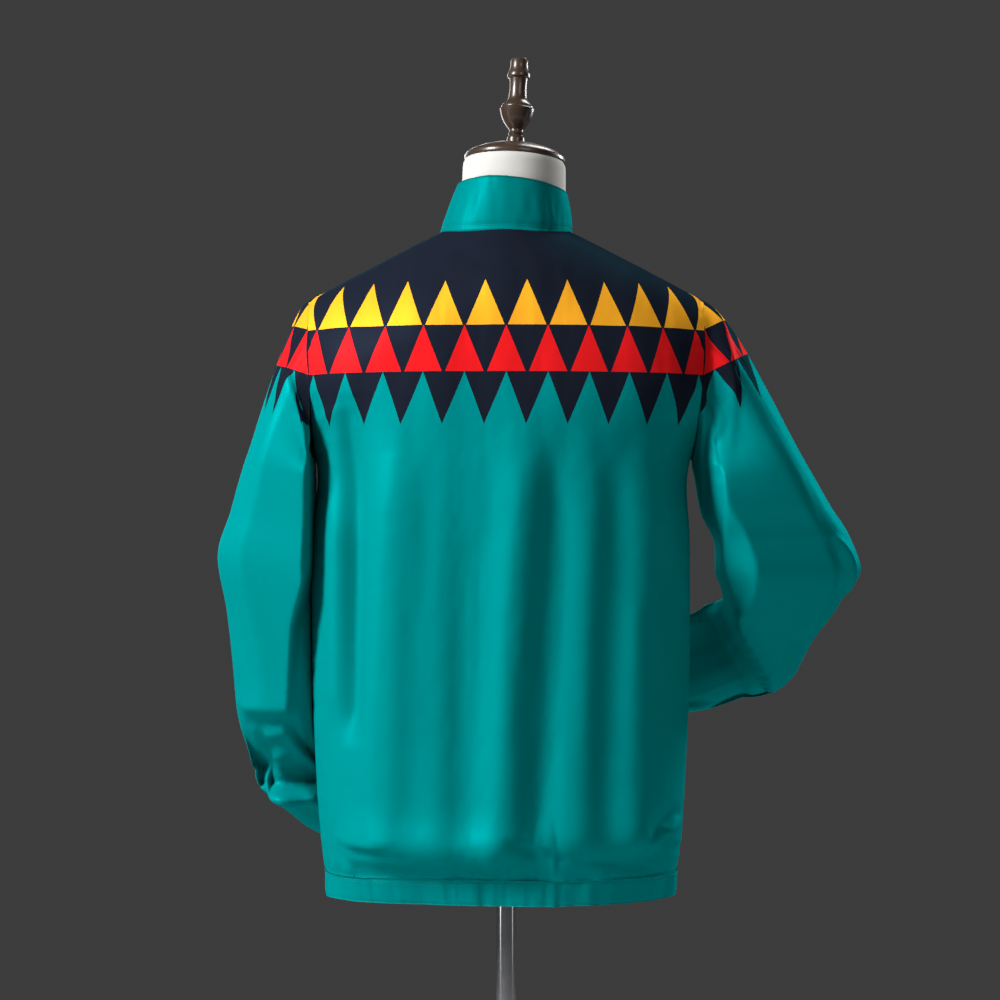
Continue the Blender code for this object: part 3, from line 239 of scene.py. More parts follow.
# A crease follows a curve through three places on a side of the garment seen square on. It stands out by
# `rise`, or is a trough where that is negative. `lee` is its width on one side: on the way from start to end,
# the left as seen from the front. A narrow lee makes a steep face, as where cloth laps over.
Crease = namedtuple("Crease", "start_x start_z middle_x middle_z end_x end_z width lee rise")
SEAM_HOLD = 0.85  # how much of a crease is left where it meets the hem band
BODY_CREASES = {
    BACK: in_mm(
        Crease,
        # blousing over the hem band
        (176, 848, 70, 838, -50, 844, 23, 30, 12), (-30, 854, -110, 844, -188, 852, 32, 16, 6.4),
        (180, 845, 146, 837.5, 108, 845, 6, 1.2, 2.2), (172, 838, 140, 833, 112, 838, 2.2, 5, -2),
        (160, 830, 136, 833, 96, 827, 2.2, 7, -3.6), (158, 812, 60, 802, -48, 811, 20, 12, -12.5),
        (2, 850, -20, 838, -34, 830, 3, 6, -3), (-18, 856, -32, 842, -44, 836, 3, 6, 3),
        (-30, 838, -50, 829, -66, 828, 3, 4, -2.2), (-50, 828, -112, 822, -160, 830, 7, 9, -4),
        (172, 833, 162, 821, 150, 812, 2, 5, -2.2), (158, 814, 140, 810, 124, 812, 3, 2, 1.4),
        (-112, 818, -130, 814, -146, 818, 2.4, 4, -1.6),
        # the right side seam's puckers
        (-144, 843, -162, 856, -181, 870, 13, 2.6, -7), (-154, 856, -168, 848, -184, 858, 7, 2.4, 4.2),
        (-160, 844, -172, 840, -184, 844, 2.4, 4, -3), (-166, 840, -176, 835, -186, 838, 3.4, 1.6, 2.8),
        (-170, 830, -178, 826, -185, 829, 2, 3, -2.4), (-172, 823, -179, 819, -185, 822, 2.8, 1.4, 2),
        # pulls from the armholes
        (-194, 1300, -176, 1316, -150, 1322, 5, 9, 1.6), (-195, 1262, -172, 1272, -142, 1262, 6, 10, -2),
        (196, 1270, 176, 1286, 146, 1290, 5, 9, 1.6), (194, 1246, 180, 1216, 172, 1170, 8, 4, -2.2),
        (-196, 1240, -184, 1205, -178, 1150, 8, 8, -1.8),
        # under the collar
        (52, 1452, 18, 1436, -18, 1438, 7, 4, -0.9), (-46, 1448, -60, 1424, -66, 1392, 8, 8, 1.1),
        # edges pressed into the long folds
        (165, 1300, 162, 1160, 159, 940, 16, 8, -11), (116, 1240, 128, 1080, 136, 880, 6, 16, 1.5),
        (-16, 1230, 1, 1080, 12, 880, 8, 17, 1.3), (30, 1200, 34, 1060, 40, 900, 20, 8, 1),
        (-64, 1220, -58, 1060, -44, 900, 14, 9, -1.2), (-128, 1240, -128, 1080, -124, 900, 8, 16, 1.4),
    ),
    FRONT: in_mm(
        Crease,
        (182, 852, 95, 846, 12, 850, 32, 14, 7.5), (-12, 850, -95, 846, -182, 853, 32, 14, 7.5),
        (140, 829, 105, 824, 50, 829, 3, 8, -3), (-40, 830, -95, 824, -140, 829, 3, 8, -3),
        (176, 847, 150, 840, 122, 846, 5, 1.4, 2.2), (-118, 848, -145, 840, -172, 846, 5, 1.4, 2.2),
        (194, 1262, 168, 1272, 130, 1258, 6, 10, -2), (-194, 1256, -170, 1268, -136, 1256, 10, 6, -2),
        (60, 1430, 80, 1380, 90, 1320, 10, 6, 1.8), (-62, 1426, -84, 1384, -92, 1330, 6, 10, 1.8),
        (68, 1260, 66, 1100, 60, 880, 14, 5, 2.4), (-62, 1270, -60, 1100, -54, 880, 5, 14, 2.4),
        (146, 1240, 148, 1100, 148, 900, 12, 5, 2.2), (-148, 1240, -148, 1100, -146, 900, 5, 12, 2.2),
    ),
}
SLEEVE_CREASES = {
    LEFT: in_mm(
        Crease,
        # the edge between the lit back and the shaded inner side
        (235.3, 1085, 235.8, 1050, 234.5, 1012, 2.6, 2.6, -2.2),
        # the shelf over the bend, and the folds crushed under it
        (290, 976, 256, 970, 218, 973, 24, 2.2, 6), (280, 960, 254, 956, 220, 959, 5, 8, -7),
        (262, 940, 248, 942, 230, 948, 9, 2, 7), (270, 930, 252, 927, 232, 933, 4, 6, -4.5),
        (240, 956, 222, 928, 198, 892, 2.6, 10, 8), (229, 956, 213, 930, 193, 898, 8, 2.4, -6),
        (264, 908, 250, 910, 232, 916, 8, 2.4, 4), (286, 900, 245, 893, 208, 896, 48, 8, -13),
        (260, 876, 234, 869, 204, 868, 9, 3.4, 7), (220, 886, 208, 870, 200, 856, 2.6, 7, 5),
        # the overlap beside the armhole
        (201, 1250, 216, 1288, 230, 1334, 12, 2.6, 5),
        # long soft ridges down the upper arm
        (276, 1250, 280, 1160, 276, 1050, 16, 16, 2.2), (229, 1230, 230, 1150, 233, 1070, 3, 7, 1.4),
    ),
    RIGHT: in_mm(
        Crease,
        # two lapping pleats beside the armhole
        (-206.8, 1403, -230, 1372, -238.5, 1300, 4, 12, 5),
        (-238.5, 1320, -237, 1270, -230, 1230, 4, 9, 3.6), (-211, 1390, -213, 1300, -220, 1210, 6, 4, -6.6),
        (-219, 1230, -220, 1160, -225, 1090, 7, 3, -4.2), (-206, 1300, -208, 1240, -211, 1190, 3, 5, 3),
        (-228, 1240, -230, 1170, -236, 1090, 10, 3, 4),
        # the tab at the elbow
        (-344, 1156, -364, 1130, -366, 1092, 4, 6, 6), (-338, 1148, -352, 1124, -350, 1090, 3, 4, -4),
        # where the upper arm laps over the forearm
        (-210, 1080, -233, 1035, -268, 966, 6, 26, -12), (-280, 1270, -310, 1210, -330, 1160, 6, 16, 2.2),
        (-256, 1240, -270, 1170, -276, 1100, 12, 12, -2.2), (-300, 1050, -315, 1040, -333, 1045, 8, 4, -2),
    ),
}
# An edge pressed across a sleeve, at a place between the rings and an angle round it.
Kink = namedtuple("Kink", "ring angle reach spread rise")
KINKS = {
    LEFT: (
        Kink(5.9, 200, 0.45, 40, 0.0010),
        Kink(7.3, 190, 0.5, 45, 0.0014),
        Kink(6.6, 200, 0.35, 40, -0.0030),
    ),
    RIGHT: (
        Kink(3.0, 185, 0.5, 50, 0.0022),
        Kink(4.3, 190, 0.35, 40, -0.0030),
        Kink(6.9, 200, 0.6, 45, 0.0050),
    ),
}
# The outline at an elbow, taken in about a height.
Trim = namedtuple("Trim", "middle spread depth")
TRIMS = {LEFT: Trim(0.912, 0.034, 0.0120), RIGHT: Trim(1.035, 0.050, 0.0090)}
# The edge where each upper arm's flat back ends, seen from behind: from its low end to its high end.
LapEdge = namedtuple("LapEdge", "z x")
LAP_EDGES = {
    LEFT: LapEdge((0.966, 1.060, 1.145), (0.2310, 0.2230, 0.1985)),
    RIGHT: LapEdge((0.978, 1.052, 1.135, 1.236), (-0.2930, -0.2480, -0.2270, -0.2140)),
}
BACK_LEAN = {LEFT: 0.34, RIGHT: 0.36}  # turn of the flat back to the outer side
LAP_LIMIT = {LEFT: 0.048, RIGHT: 0.040}  # the most that it stands out of the tube
SHELF_Z, FOLD_FOOT_Z = 0.966, 0.888  # the left elbow's shelf, and where the cloth folded in under it ends
FOLDED_IN = 0.044
FOREARM_IN = 0.022  # how far the right forearm lies in past the upper arm's edge

# Layers of noise: the height, size along and across, and seed of each one's bumps.
Layer = namedtuple("Layer", "height wide tall seed")
HEM_GATHERS = (Layer(0.0019, 0.0075, 0.05, 3), Layer(0.00114, 0.0034, 0.03, 5))
SIDE_PUCKERS = (Layer(0.0012, 0.011, 0.05, 7), Layer(0.0006, 0.005, 0.03, 9))
TOP_PUCKERS = (Layer(0.0005, 0.012, 0.02, 11),)
SOFT_FOLDS = (
    Layer(0.0011, 0.034, 0.16, 13),
    Layer(0.0005, 0.016, 0.07, 15),
    Layer(0.00018, 0.007, 0.016, 17),
)
HEM_RIPPLES = (
    Layer(0.0013, 0.014, 0.08, 31),
    Layer(0.0009, 0.0060, 0.05, 33),
    Layer(0.0004, 0.0030, 0.04, 32),
)
# on a sleeve, sizes are in elevenths of half its girth, and in rings or rows
SLEEVE_SOFT = (Layer(0.0010, 1, 3.5, 21), Layer(0.0005, 1 / 2.3, 1.6, 23))
HEAD_PUCKERS = (Layer(0.0007, 1 / 3, 14, 25),)
CUFF_PUCKERS = (Layer(0.0010, 1 / 2.6, 20, 27),)
# small upright steps in the hem band, behind: where, and how wide
HEM_STEPS = ((0.143, 0.0012), (-0.088, 0.0014), (0.058, 0.0020), (0.012, 0.0018))


# ---------------------------------------------------------------- small helpers
def hermite(first, last, leave, arrive, t):
    """Between two values, on a smooth curve with these slopes at its ends."""
    ends = first * (1 + 2 * t) * (1 - t) ** 2 + last * t * t * (3 - 2 * t)
    return ends + leave * t * (1 - t) ** 2 - arrive * t * t * (1 - t)


def column(table, name, height):
    """One column of a section table at any height, on a smooth curve through its rows."""
    at = np.array([row.height for row in table])
    values = np.array([getattr(row, name) for row in table])
    slopes = np.gradient(values, at)
    height = np.clip(height, at[0], at[-1])
    k = np.clip(np.searchsorted(at, height) - 1, 0, len(at) - 2)
    span = at[k + 1] - at[k]
    return hermite(values[k], values[k + 1], span * slopes[k], span * slopes[k + 1], (height - at[k]) / span)


def smoothstep(low, high, value):
    t = np.clip((value - low) / (high - low), 0, 1)
    return t * t * (3 - 2 * t)


def bell(offset, spread):
    return np.exp(-((offset / spread) ** 2))


def beside(distance, start, reach):
    """Strength of puckers beside a seam: none on it, full after `start`, gone after a few times `reach`."""
    return smoothstep(0, start, distance) * np.exp(-distance / reach)


def unit(vectors):
    return vectors / np.maximum(np.linalg.norm(vectors, axis=-1, keepdims=True), 1e-12)


def square_to(vectors, way):
    """Vectors less their part along a unit direction."""
    return vectors - (vectors * way).sum(-1, keepdims=True) * way


def points_of(x, y, z):
    return np.stack(np.broadcast_arrays(x, y, z), axis=-1).astype(float)


def grid_normals(points, wrap=False):
    """A unit normal at each point of a grid. `wrap` joins the last column to the first."""
    along = np.roll(points, -1, axis=1) - np.roll(points, 1, axis=1) if wrap else np.gradient(points, axis=1)
    return unit(np.cross(along, np.gradient(points, axis=0)))


def length_along(line):
    """Length from a line's first point to each."""
    return np.concatenate([[0], np.cumsum(np.linalg.norm(np.diff(line, axis=0), axis=1))])


def read_at(at, places, rows):
    """Rows of three numbers, read between their places."""
    return np.stack([np.interp(at, places, rows[:, k]) for k in range(3)], axis=1)


def lapping(side, points, normals):
    """How far the sleeve's back stands out of its round tube, or lies in behind it, beside the lap's edge."""
    edge = LAP_EDGES[side]
    outwards, y, z = side * points[..., 0], points[..., 1], points[..., 2]
    past = outwards - side * np.interp(z, edge.z, edge.x)
    seen = smoothstep(-0.20, 0.25, normals[..., 1])
    # the back is drawn flat from where the tube first leans so far, in to the edge
    leaning = y + BACK_LEAN[side] * outwards
    touch = outwards[np.arange(len(y)), leaning.argmax(axis=1)][:, None]
    out = np.minimum(leaning.max(axis=1)[:, None] - leaning, LAP_LIMIT[side]) * (outwards < touch)
    out *= smoothstep(-0.006, 0.002, past) * seen
    if side == LEFT:
        out *= smoothstep(SHELF_Z - 0.0030, SHELF_Z + 0.0006, z) * smoothstep(1.350, 1.270, z)
        folded = np.clip((SHELF_Z - z) / (SHELF_Z - FOLD_FOOT_Z), 0, 1)
        folded *= smoothstep(FOLD_FOOT_Z - 0.018, FOLD_FOOT_Z, z)
        return out - FOLDED_IN * folded * smoothstep(0.05, 0.5, normals[..., 1])
    beyond = smoothstep(0.0015, -0.0030, past) * smoothstep(0.165, 0.195, outwards)
    beyond *= smoothstep(1.115, 1.095, z) * smoothstep(0.955, 0.975, z)
    return out * smoothstep(0.968, 0.984, z) * smoothstep(1.340, 1.190, z) - FOREARM_IN * beyond * seen


@lru_cache(None)
def noise_table(seed):
    return np.random.default_rng(seed).uniform(-1, 1, (64, 64))


def noise(u, v, seed):
    """Smooth noise between -1 and 1, one bump to a unit."""
    table = noise_table(seed)
    u, v = np.broadcast_arrays(u, v)
    i, j = np.floor(u).astype(int), np.floor(v).astype(int)
    u, v = u - i, v - j
    u, v = u**3 * (u * (6 * u - 15) + 10), v**3 * (v * (6 * v - 15) + 10)
    low, high = (table[i % 64, n % 64] * (1 - u) + table[(i + 1) % 64, n % 64] * u for n in (j, j + 1))
    return low * (1 - v) + high * v


def uneven(along, across, layers, variant=0):
    """Height of layers of noise. A variant has other seeds."""
    return sum(one.height * noise(along / one.wide, across / one.tall, one.seed + variant) for one in layers)


def crease_height(points, creases):
    """How far the creases raise each point, by its distance from them in x and z."""
    place = points[..., [0, 2]]
    height = np.zeros(place.shape[:-1])
    t = np.linspace(0, 1, 25)[:, None]
    for c in creases:
        start, middle, end = np.array([[c.start_x, c.start_z], [c.middle_x, c.middle_z], [c.end_x, c.end_z]])
        line = start * (1 - t) ** 2 + (4 * middle - start - end) * t * (1 - t) + end * t * t
        reach = 3.2 * max(c.width, c.lee)
        inside = ((place > line.min(0) - reach) & (place < line.max(0) + reach)).all(-1)
        if not inside.any():
            continue
        runs = np.diff(line, axis=0)
        off = place[inside][:, None] - line[None, :-1]
        share = np.clip((off * runs).sum(-1) / (runs**2).sum(-1), 0, 1)
        off -= share[..., None] * runs
        far = (off**2).sum(-1)
        nearest = far.argmin(1)
        pick = np.arange(len(far)), nearest
        run, aside = runs[nearest], off[pick]
        wide = c.width + (c.lee - c.width) * (run[:, 0] * aside[:, 1] > run[:, 1] * aside[:, 0])
        along = (nearest + share[pick]) / len(runs)
        ends = np.clip(np.sin(math.pi * along), 0, 1) ** 0.6
        height[inside] += c.rise * np.exp(-((np.sqrt(far[pick]) / wide) ** 1.7)) * ends
    return height


def body_creases(face, points, from_side):
    """Height of a panel's creases. Back and front agree at the side seam."""
    own, other = (crease_height(points, BODY_CREASES[each]) for each in (face, -face))
    return own + (other - own) / 2 * smoothstep(0.008, 0, from_side)


def body_detail(face, points):
    """Creases, gathers over the hem band and puckers at the seams of a front or back."""
    x, z = points[..., 0], points[..., 2]
    from_side = panel_edge(z) - np.abs(x - sway_at(z))
    above_hem = z - HEM_TOP
    below_top = np.abs(z - top_height(face, x))
    held = SEAM_HOLD + (1 - SEAM_HOLD) * smoothstep(0, 0.012, above_hem)
    height = body_creases(face, points, from_side) * held
    gathers = uneven(x, z, HEM_GATHERS, face) * smoothstep(0, 0.006, from_side)
    height += gathers * beside(above_hem, 0.004, 0.010)
    height += uneven(z, from_side, SIDE_PUCKERS, face) * beside(from_side, 0.003, 0.012)
    height += uneven(x, z, TOP_PUCKERS, face) * beside(below_top, 0.003, 0.012)
    free = smoothstep(0, 0.02, from_side) * smoothstep(0, 0.03, below_top) * smoothstep(0, 0.008, above_hem)
    return height + uneven(x, z, SOFT_FOLDS, face) * free


def sleeve_detail(side, points, normals):
    """Creases seen from the back, and a soft unevenness, of a sleeve."""
    rows = len(points)
    row = np.arange(rows)[:, None]
    down = (row - CAP_ROWS) / RING_STEPS
    turn = np.arange(AROUND)[None, :] / AROUND
    height = crease_height(points, SLEEVE_CREASES[side]) * smoothstep(-0.25, 0.25, normals[..., 1])
    for kink in KINKS[side]:
        off = (360 * turn - kink.angle + 180) % 360 - 180
        near = np.exp(-((np.abs(down - kink.ring) / kink.reach) ** 1.2))
        height += kink.rise * near * bell(off, kink.spread)
    trim = TRIMS[side]
    outer = np.clip(1.4 * side * normals[..., 0], 0, 1)
    height -= trim.depth * outer * bell(points[..., 2] - trim.middle, trim.spread)
    there_and_back = np.abs((turn * 2 + 0.5) % 2 - 1) * 11
    height += uneven(there_and_back, down, SLEEVE_SOFT, side)
    height += uneven(there_and_back, row, HEAD_PUCKERS, side) * np.exp(-row / (CAP_ROWS * 0.22))
    height += uneven(there_and_back, row, CUFF_PUCKERS, side) * np.exp(-(rows - 1 - row) / 9.0)
    return height * smoothstep(0, CAP_ROWS * 0.25, row) * smoothstep(0, 4, rows - 1 - row)


def hem_detail(points):
    """The hem band's narrow ripples, its seam line, the upright steps behind and its turned-under foot."""
    x, z, behind = points[..., 0], points[..., 2], points[..., 1] > 0
    height = uneven(length_along(points[0])[None, :], z, HEM_RIPPLES) * smoothstep(0, 0.003, HEM_TOP - z)
    top = points[-1]
    from_side = column(BODY, "half_width", HEM_TOP) - np.abs(top[:, 0] - HEM_SWAY)
    for face in (BACK, FRONT):  # the band's top edge goes where the body's lower edge goes
        height += SEAM_HOLD * body_creases(face, top, from_side) * (np.sign(top[:, 1]) == face)
    height -= 0.0007 * bell(z - HEM_SEAM, 0.0011)
    for place, width in HEM_STEPS:
        height += 0.0009 * behind * np.tanh((x - place) / width) * bell(x - place, 0.012)
    turned_under = 0.0050 + 0.0030 * bell(x - 0.100, 0.040) - 0.0030 * bell(x + 0.02, 0.05)
    turned_under *= np.clip((HEM_TOP - z) / (HEM_TOP - HEM_BOTTOM), 0, 1) * smoothstep(0.19, 0.16, np.abs(x))
    rounded = np.minimum(z - HEM_BOTTOM, 0.004) / 0.004
    return height - behind * turned_under - 0.0007 * (1 - rounded) ** 2


def collar_detail(points):
    """Soft wrinkles of the collar, closer together near its right foot."""
    rows, columns = points.shape[:2]
    up = np.arange(rows)[:, None] / (rows - 1)
    along = np.linspace(0, 0.42, columns)[None, :]
    height = 0.0009 * noise(along / 0.030 + up * 0.5, up * 1.3, 41)
    height += 0.0004 * noise(along / 0.011, up * 2.0 + 5, 42)
    crumpled = bell(points[..., 0] + 0.052, 0.016) * (1 - up) * (points[..., 1] > 0)
    height += 0.0010 * crumpled * noise(along / 0.006, up * 4.0, 43) - 0.0006 * bell(up - 0.10, 0.035)
    return height * smoothstep(0, 0.06, up) * smoothstep(0, 0.02, np.minimum(along, 0.42 - along))


# ---------------------------------------------------------------- the body's surface
def ridge_height(x, torso=GARMENT):
    """Height of the shoulder line at a distance from the middle."""
    return torso.ridge_top - SHOULDER_SLOPE * (np.hypot(x, RIDGE_ROUND) - RIDGE_ROUND)


def section_side(x, half_width):
    return (1 - np.minimum(np.abs(x / half_width), 1) ** SQUARENESS) ** (1 / SQUARENESS)


def full_depth(torso, face, x, z):
    depth = column(torso.sections, "back" if face == BACK else "front", z)
    return depth * section_side(x, column(torso.sections, "half_width", z))


def body_depth(face, x, z, torso=GARMENT):
    """How far the surface stands from the XZ plane, towards the back or the front."""
    below = np.clip((ridge_height(x, torso) - z) / ARCH[face], 0, 1)
    return full_depth(torso, face, x, z) * np.sqrt(1 - (1 - below) ** 2)


def top_height(face, x, torso=GARMENT):
    """Height of a panel's top edge: the neck seam in the middle, the shoulder seam beyond it."""
    seam = torso.neck_depth[face] * np.sqrt(1 - np.minimum(np.abs(x / torso.neck_half), 1) ** 2)
    height = ridge_height(x, torso)
    for _ in range(6):
        share = np.minimum(seam / full_depth(torso, face, x, height), 1)
        height = ridge_height(x, torso) - ARCH[face] * (1 - np.sqrt(1 - share**2))
    return height


def yoke_height(share, torso):
    """Height from the underarm to the shoulder tip, by its share of the way."""
    return UNDERARM + (ridge_height(torso.tip_x, torso) - UNDERARM) * share


def armhole_x(z, torso=GARMENT):
    rise = (z - UNDERARM) / (ridge_height(torso.tip_x, torso) - UNDERARM)
    return torso.side_x + (torso.tip_x - torso.side_x) * np.clip(rise, 0, 1)


def panel_edge(z):
    """Half width of a panel of the garment, to the side seam or the armhole."""
    return np.where(z < UNDERARM, column(BODY, "half_width", z), armhole_x(z))


def yoke_shares(torso):
    """Heights from the underarm to the shoulder, as shares, that put points evenly along the back armhole."""
    share = 1 - np.linspace(1, 0, 400) ** 2
    z = yoke_height(share, torso)
    x = armhole_x(z, torso)
    along = length_along(points_of(x, body_depth(BACK, x, z, torso), z))
    return np.interp(np.linspace(0, along[-1], torso.yoke_rows + 1), along, share)


def panel_columns(torso=GARMENT):
    """Places across a panel from -1 to 1. One falls on each side of the neck."""
    side = math.asin((torso.neck_half / torso.tip_x) ** (SQUARENESS / 2)) * 2 / math.pi
    outer = np.linspace(side, 1, torso.side_columns + 1)[1:]
    return np.concatenate([-outer[::-1], np.linspace(-side, side, torso.neck_columns + 1), outer])


def panel_x(across, edge):
    wave = np.sin(across * math.pi / 2)
    return edge * np.sign(wave) * np.abs(wave) ** (2 / SQUARENESS)


def sway_at(z):
    return HEM_SWAY * smoothstep(1.33, 1.15, z)


def swayed(points):
    """The garment's lower part hangs a little to the wearer's left. The zip stays on the middle."""
    side_on = np.where(points[..., 1] > 0, 1, smoothstep(0.01, 0.14, np.abs(points[..., 0])))
    points[..., 0] += sway_at(points[..., 2]) * side_on
    return points


def body_grid(face, torso=GARMENT):
    """Smooth mid-wall points of a whole front or back, from its lower edge to the shoulder and neck seams."""
    across = panel_columns(torso)[None, :]
    z = np.linspace(torso.bottom, UNDERARM, torso.body_rows + 1)[:, None]
    x = panel_x(across, column(torso.sections, "half_width", z))
    lower = points_of(x, face * body_depth(face, x, z, torso), z)
    share = yoke_shares(torso)[1:, None]
    x = panel_x(across, armhole_x(yoke_height(share, torso), torso))
    z = UNDERARM + (top_height(face, x, torso) - UNDERARM) * share
    grid = np.concatenate([lower, points_of(x, face * body_depth(face, x, z, torso), z)])
    return swayed(grid) if torso is GARMENT else grid


def fold_height(face, points):
    """How far the folds raise each point of a panel. They die away at the seams."""
    x, z = points[..., 0], points[..., 2]
    height = np.zeros(x.shape)
    for fold in FOLDS[face]:
        down = np.clip((fold.top_z - z) / (fold.top_z - fold.bottom_z), 0, 1)
        middle = fold.top_x + (fold.bottom_x - fold.top_x) * down
        ends = smoothstep(0, 0.3, down) * smoothstep(fold.bottom_z - 0.03, fold.bottom_z + 0.02, z)
        height += fold.rise * ends * bell(x - middle, fold.width)
    return height * smoothstep(0, 0.018, panel_edge(z) - np.abs(x))


def body_normals(face, points):
    """Outward normals of a body grid, square to the seams at the sides and shoulders."""
    normals = -face * grid_normals(points)
    normals[: BODY_ROWS + 1, [0, -1], 1] = 0
    normals[-1, np.abs(points[-1, :, 0]) >= NECK_HALF_WIDTH - 1e-6, 1] = 0
    return unit(normals)


@lru_cache(None)
def body_panel(face):
    """Mid-wall points and normals of a whole front or back, folds and seam gap included."""
    points = body_grid(face)
    raised = fold_height(face, points) + body_detail(face, points)
    points = points + raised[..., None] * body_normals(face, points)
    normals = body_normals(face, points)
    points[..., 1] += face * GAP / 2
    return points, normals


def evened(points, edge, count):
    """The first columns beside an edge of a grid, made even as far as the one numbered `count`."""
    step = 1 if edge == 0 else -1
    for k in range(1, count):
        far = points[:, edge + step * count] - points[:, edge]
        points[:, edge + step * k] = points[:, edge] + far * (k / count)


def front_half(points, normals, side):
    """The columns of a front grid on one side of the zip, the first moved to the zip's edge."""
    middle = points.shape[1] // 2
    keep = slice(middle, None, side)
    points, normals = points[:, keep].copy(), normals[:, keep].copy()
    points[:, 0, 0] = side * ZIP_HALF
    for grid in (points, normals):
        evened(grid, 0, EVENED["zip"])
    normals[:, 0, 0] = 0
    return points, unit(normals)


# ---------------------------------------------------------------- hem band and collar
@lru_cache(None)
def hem_panel():
    """The hem band all round, from the zip's left edge by the back to its right edge: points and normals."""
    across = panel_columns()
    z = np.linspace(HEM_BOTTOM, HEM_TOP, HEM_ROWS + 1)[:, None]
    width = column(BODY, "half_width", z)
    x_left = panel_x(across[None, across > 1e-6], width)
    x_left = np.concatenate([np.full((len(z), 1), ZIP_HALF), x_left], axis=1)
    x = np.concatenate([x_left, panel_x(across[None, -2:0:-1], width), -x_left[:, ::-1]], axis=1)
    y = -body_depth(FRONT, x, z)
    behind = slice(x_left.shape[1], -x_left.shape[1])
    y[:, behind] = body_depth(BACK, x[:, behind], z)
    points = swayed(points_of(x, y, z))
    for edge in (0, -1):
        evened(points, edge, EVENED["zip"])
    points += hem_detail(points)[..., None] * grid_normals(points)
    normals = grid_normals(points)
    normals[:, [0, -1], 0] = 0
    return points, unit(normals)


def neck_ring():
    """Round the neck seam, from the zip's left edge by the back to its right edge.

    Gives the points, the body's normals and the way square to the seam, on from the panels.
    """
    half = NECK_COLUMNS // 2
    back = body_panel(BACK)
    left, right = (front_half(*body_panel(FRONT), side) for side in (LEFT, RIGHT))
    in_neck = np.flatnonzero(np.abs(back[0][-1, :, 0]) < NECK_HALF_WIDTH + 1e-6)[::-1]
    parts = ((left, slice(half)), (back, in_neck), (right, slice(half - 1, None, -1)))
    ring, normals = (np.concatenate([part[k][-1, keep] for part, keep in parts]) for k in (0, 1))
    normals = unit(normals)
    ring[[half, -half - 1], 1] = 0  # the two points over the shoulder seams
    return ring, normals, unit(np.cross(np.gradient(ring, axis=0), normals)) * -1


@lru_cache(None)
def collar_grid():
    """The stand collar's mid-wall points, from the neck seam to its top edge, and its normals."""
    ring, normals, onward = neck_ring()
    foot = ring + onward * (GAP + 0.0001)
    foot[[0, -1], 0] = ring[[0, -1], 0]
    seam_depth = np.where(ring[:, 1] > 0, NECK_DEPTH[BACK], NECK_DEPTH[FRONT])
    around = np.arctan2(ring[:, 1] / seam_depth, ring[:, 0] / NECK_HALF_WIDTH)
    to_back, to_left = np.sin(around), np.cos(around)
    depth = np.where(to_back > 0, COLLAR_TOP_DEPTH[BACK], COLLAR_TOP_DEPTH[FRONT])
    rise = np.where(to_back > 0, COLLAR_TOP_Z[BACK], COLLAR_TOP_Z[FRONT]) - COLLAR_SIDE_TOP_Z
    lean = COLLAR_LEAN * smoothstep(0, 0.7, np.abs(to_left))  # the zip itself stays upright
    x = COLLAR_TOP_HALF_WIDTH * to_left
    top = points_of(x + lean, depth * to_back, COLLAR_SIDE_TOP_Z + rise * to_back**2 + COLLAR_ROLL * x)
    share = np.linspace(0, 1, COLLAR_ROWS + 1)[:, None, None]
    bulge = COLLAR_BULGE * np.sin(math.pi * share) * unit(ring * (1, 1, 0))
    points = foot + (top - foot) * share + bulge
    points[:, [0, -1], 0] = foot[[0, -1], 0]
    for edge in (0, -1):
        evened(points, edge, EVENED["collar"])
    points += collar_detail(points)[..., None] * grid_normals(points)
    outward = grid_normals(points)
    outward[0] = normals
    outward[:, [0, -1], 0] = 0
    return points, unit(outward)


def zip_edge(side):
    """Two columns of the garment beside the zip, from the hem to the collar's top: points and normals."""
    front = front_half(*body_panel(FRONT), side)
    columns = [(k if side == LEFT else -1 - k, k) for k in (0, BESIDE_ZIP)]  # of the bands and of the front
    return [
        [np.concatenate([hem[:, j], half[1:, k], collar[1:, j]]) for j, k in columns]
        for hem, half, collar in zip(hem_panel(), front, collar_grid())
    ]


# ---------------------------------------------------------------- sleeves
def armhole_ring(side):
    """Round one armhole, from the underarm up the back to the shoulder and down the front.

    Gives the points where the sleeve starts, the way it leaves and its outward normals. At the underarm it
    folds back down over the side seam, so it starts outside the panel there.
    """
    edge_column, next_column = (-1, -2) if side == LEFT else (0, 1)
    parts = []
    for face in (BACK, FRONT):
        points, panel_normals = (grid[BODY_ROWS : BODY_ROWS + YOKE_ROWS + 1] for grid in body_panel(face))
        edge, normal = points[:, edge_column], panel_normals[:, edge_column]
        run = np.gradient(edge, axis=0)
        run[[0, -1]] *= (0, 1, 0)  # level at the underarm and the shoulder tip
        away = edge - points[:, next_column]
        away[0] = (0, 0, 1)
        parts.append((edge, normal, unit(square_to(square_to(away, unit(run)), normal))))
    edge, normal, away = (np.concatenate([a, b[-2:0:-1]]) for a, b in zip(*parts))
    edge[[0, YOKE_ROWS], 1] = 0
    up = np.concatenate([np.arange(YOKE_ROWS + 1), np.arange(YOKE_ROWS - 1, 0, -1)])
    fold = (UNDERARM_FOLD * (1 - smoothstep(0, 0.62 * YOKE_ROWS, up)))[:, None]
    leaves = np.cos(fold) * away + np.sin(fold) * normal
    outward = np.cos(fold) * normal - np.sin(fold) * away
    lap = np.cos(fold / 2) * away + np.sin(fold / 2) * normal
    return edge + lap * (GAP + WALL * np.sin(fold / 2)), leaves, outward


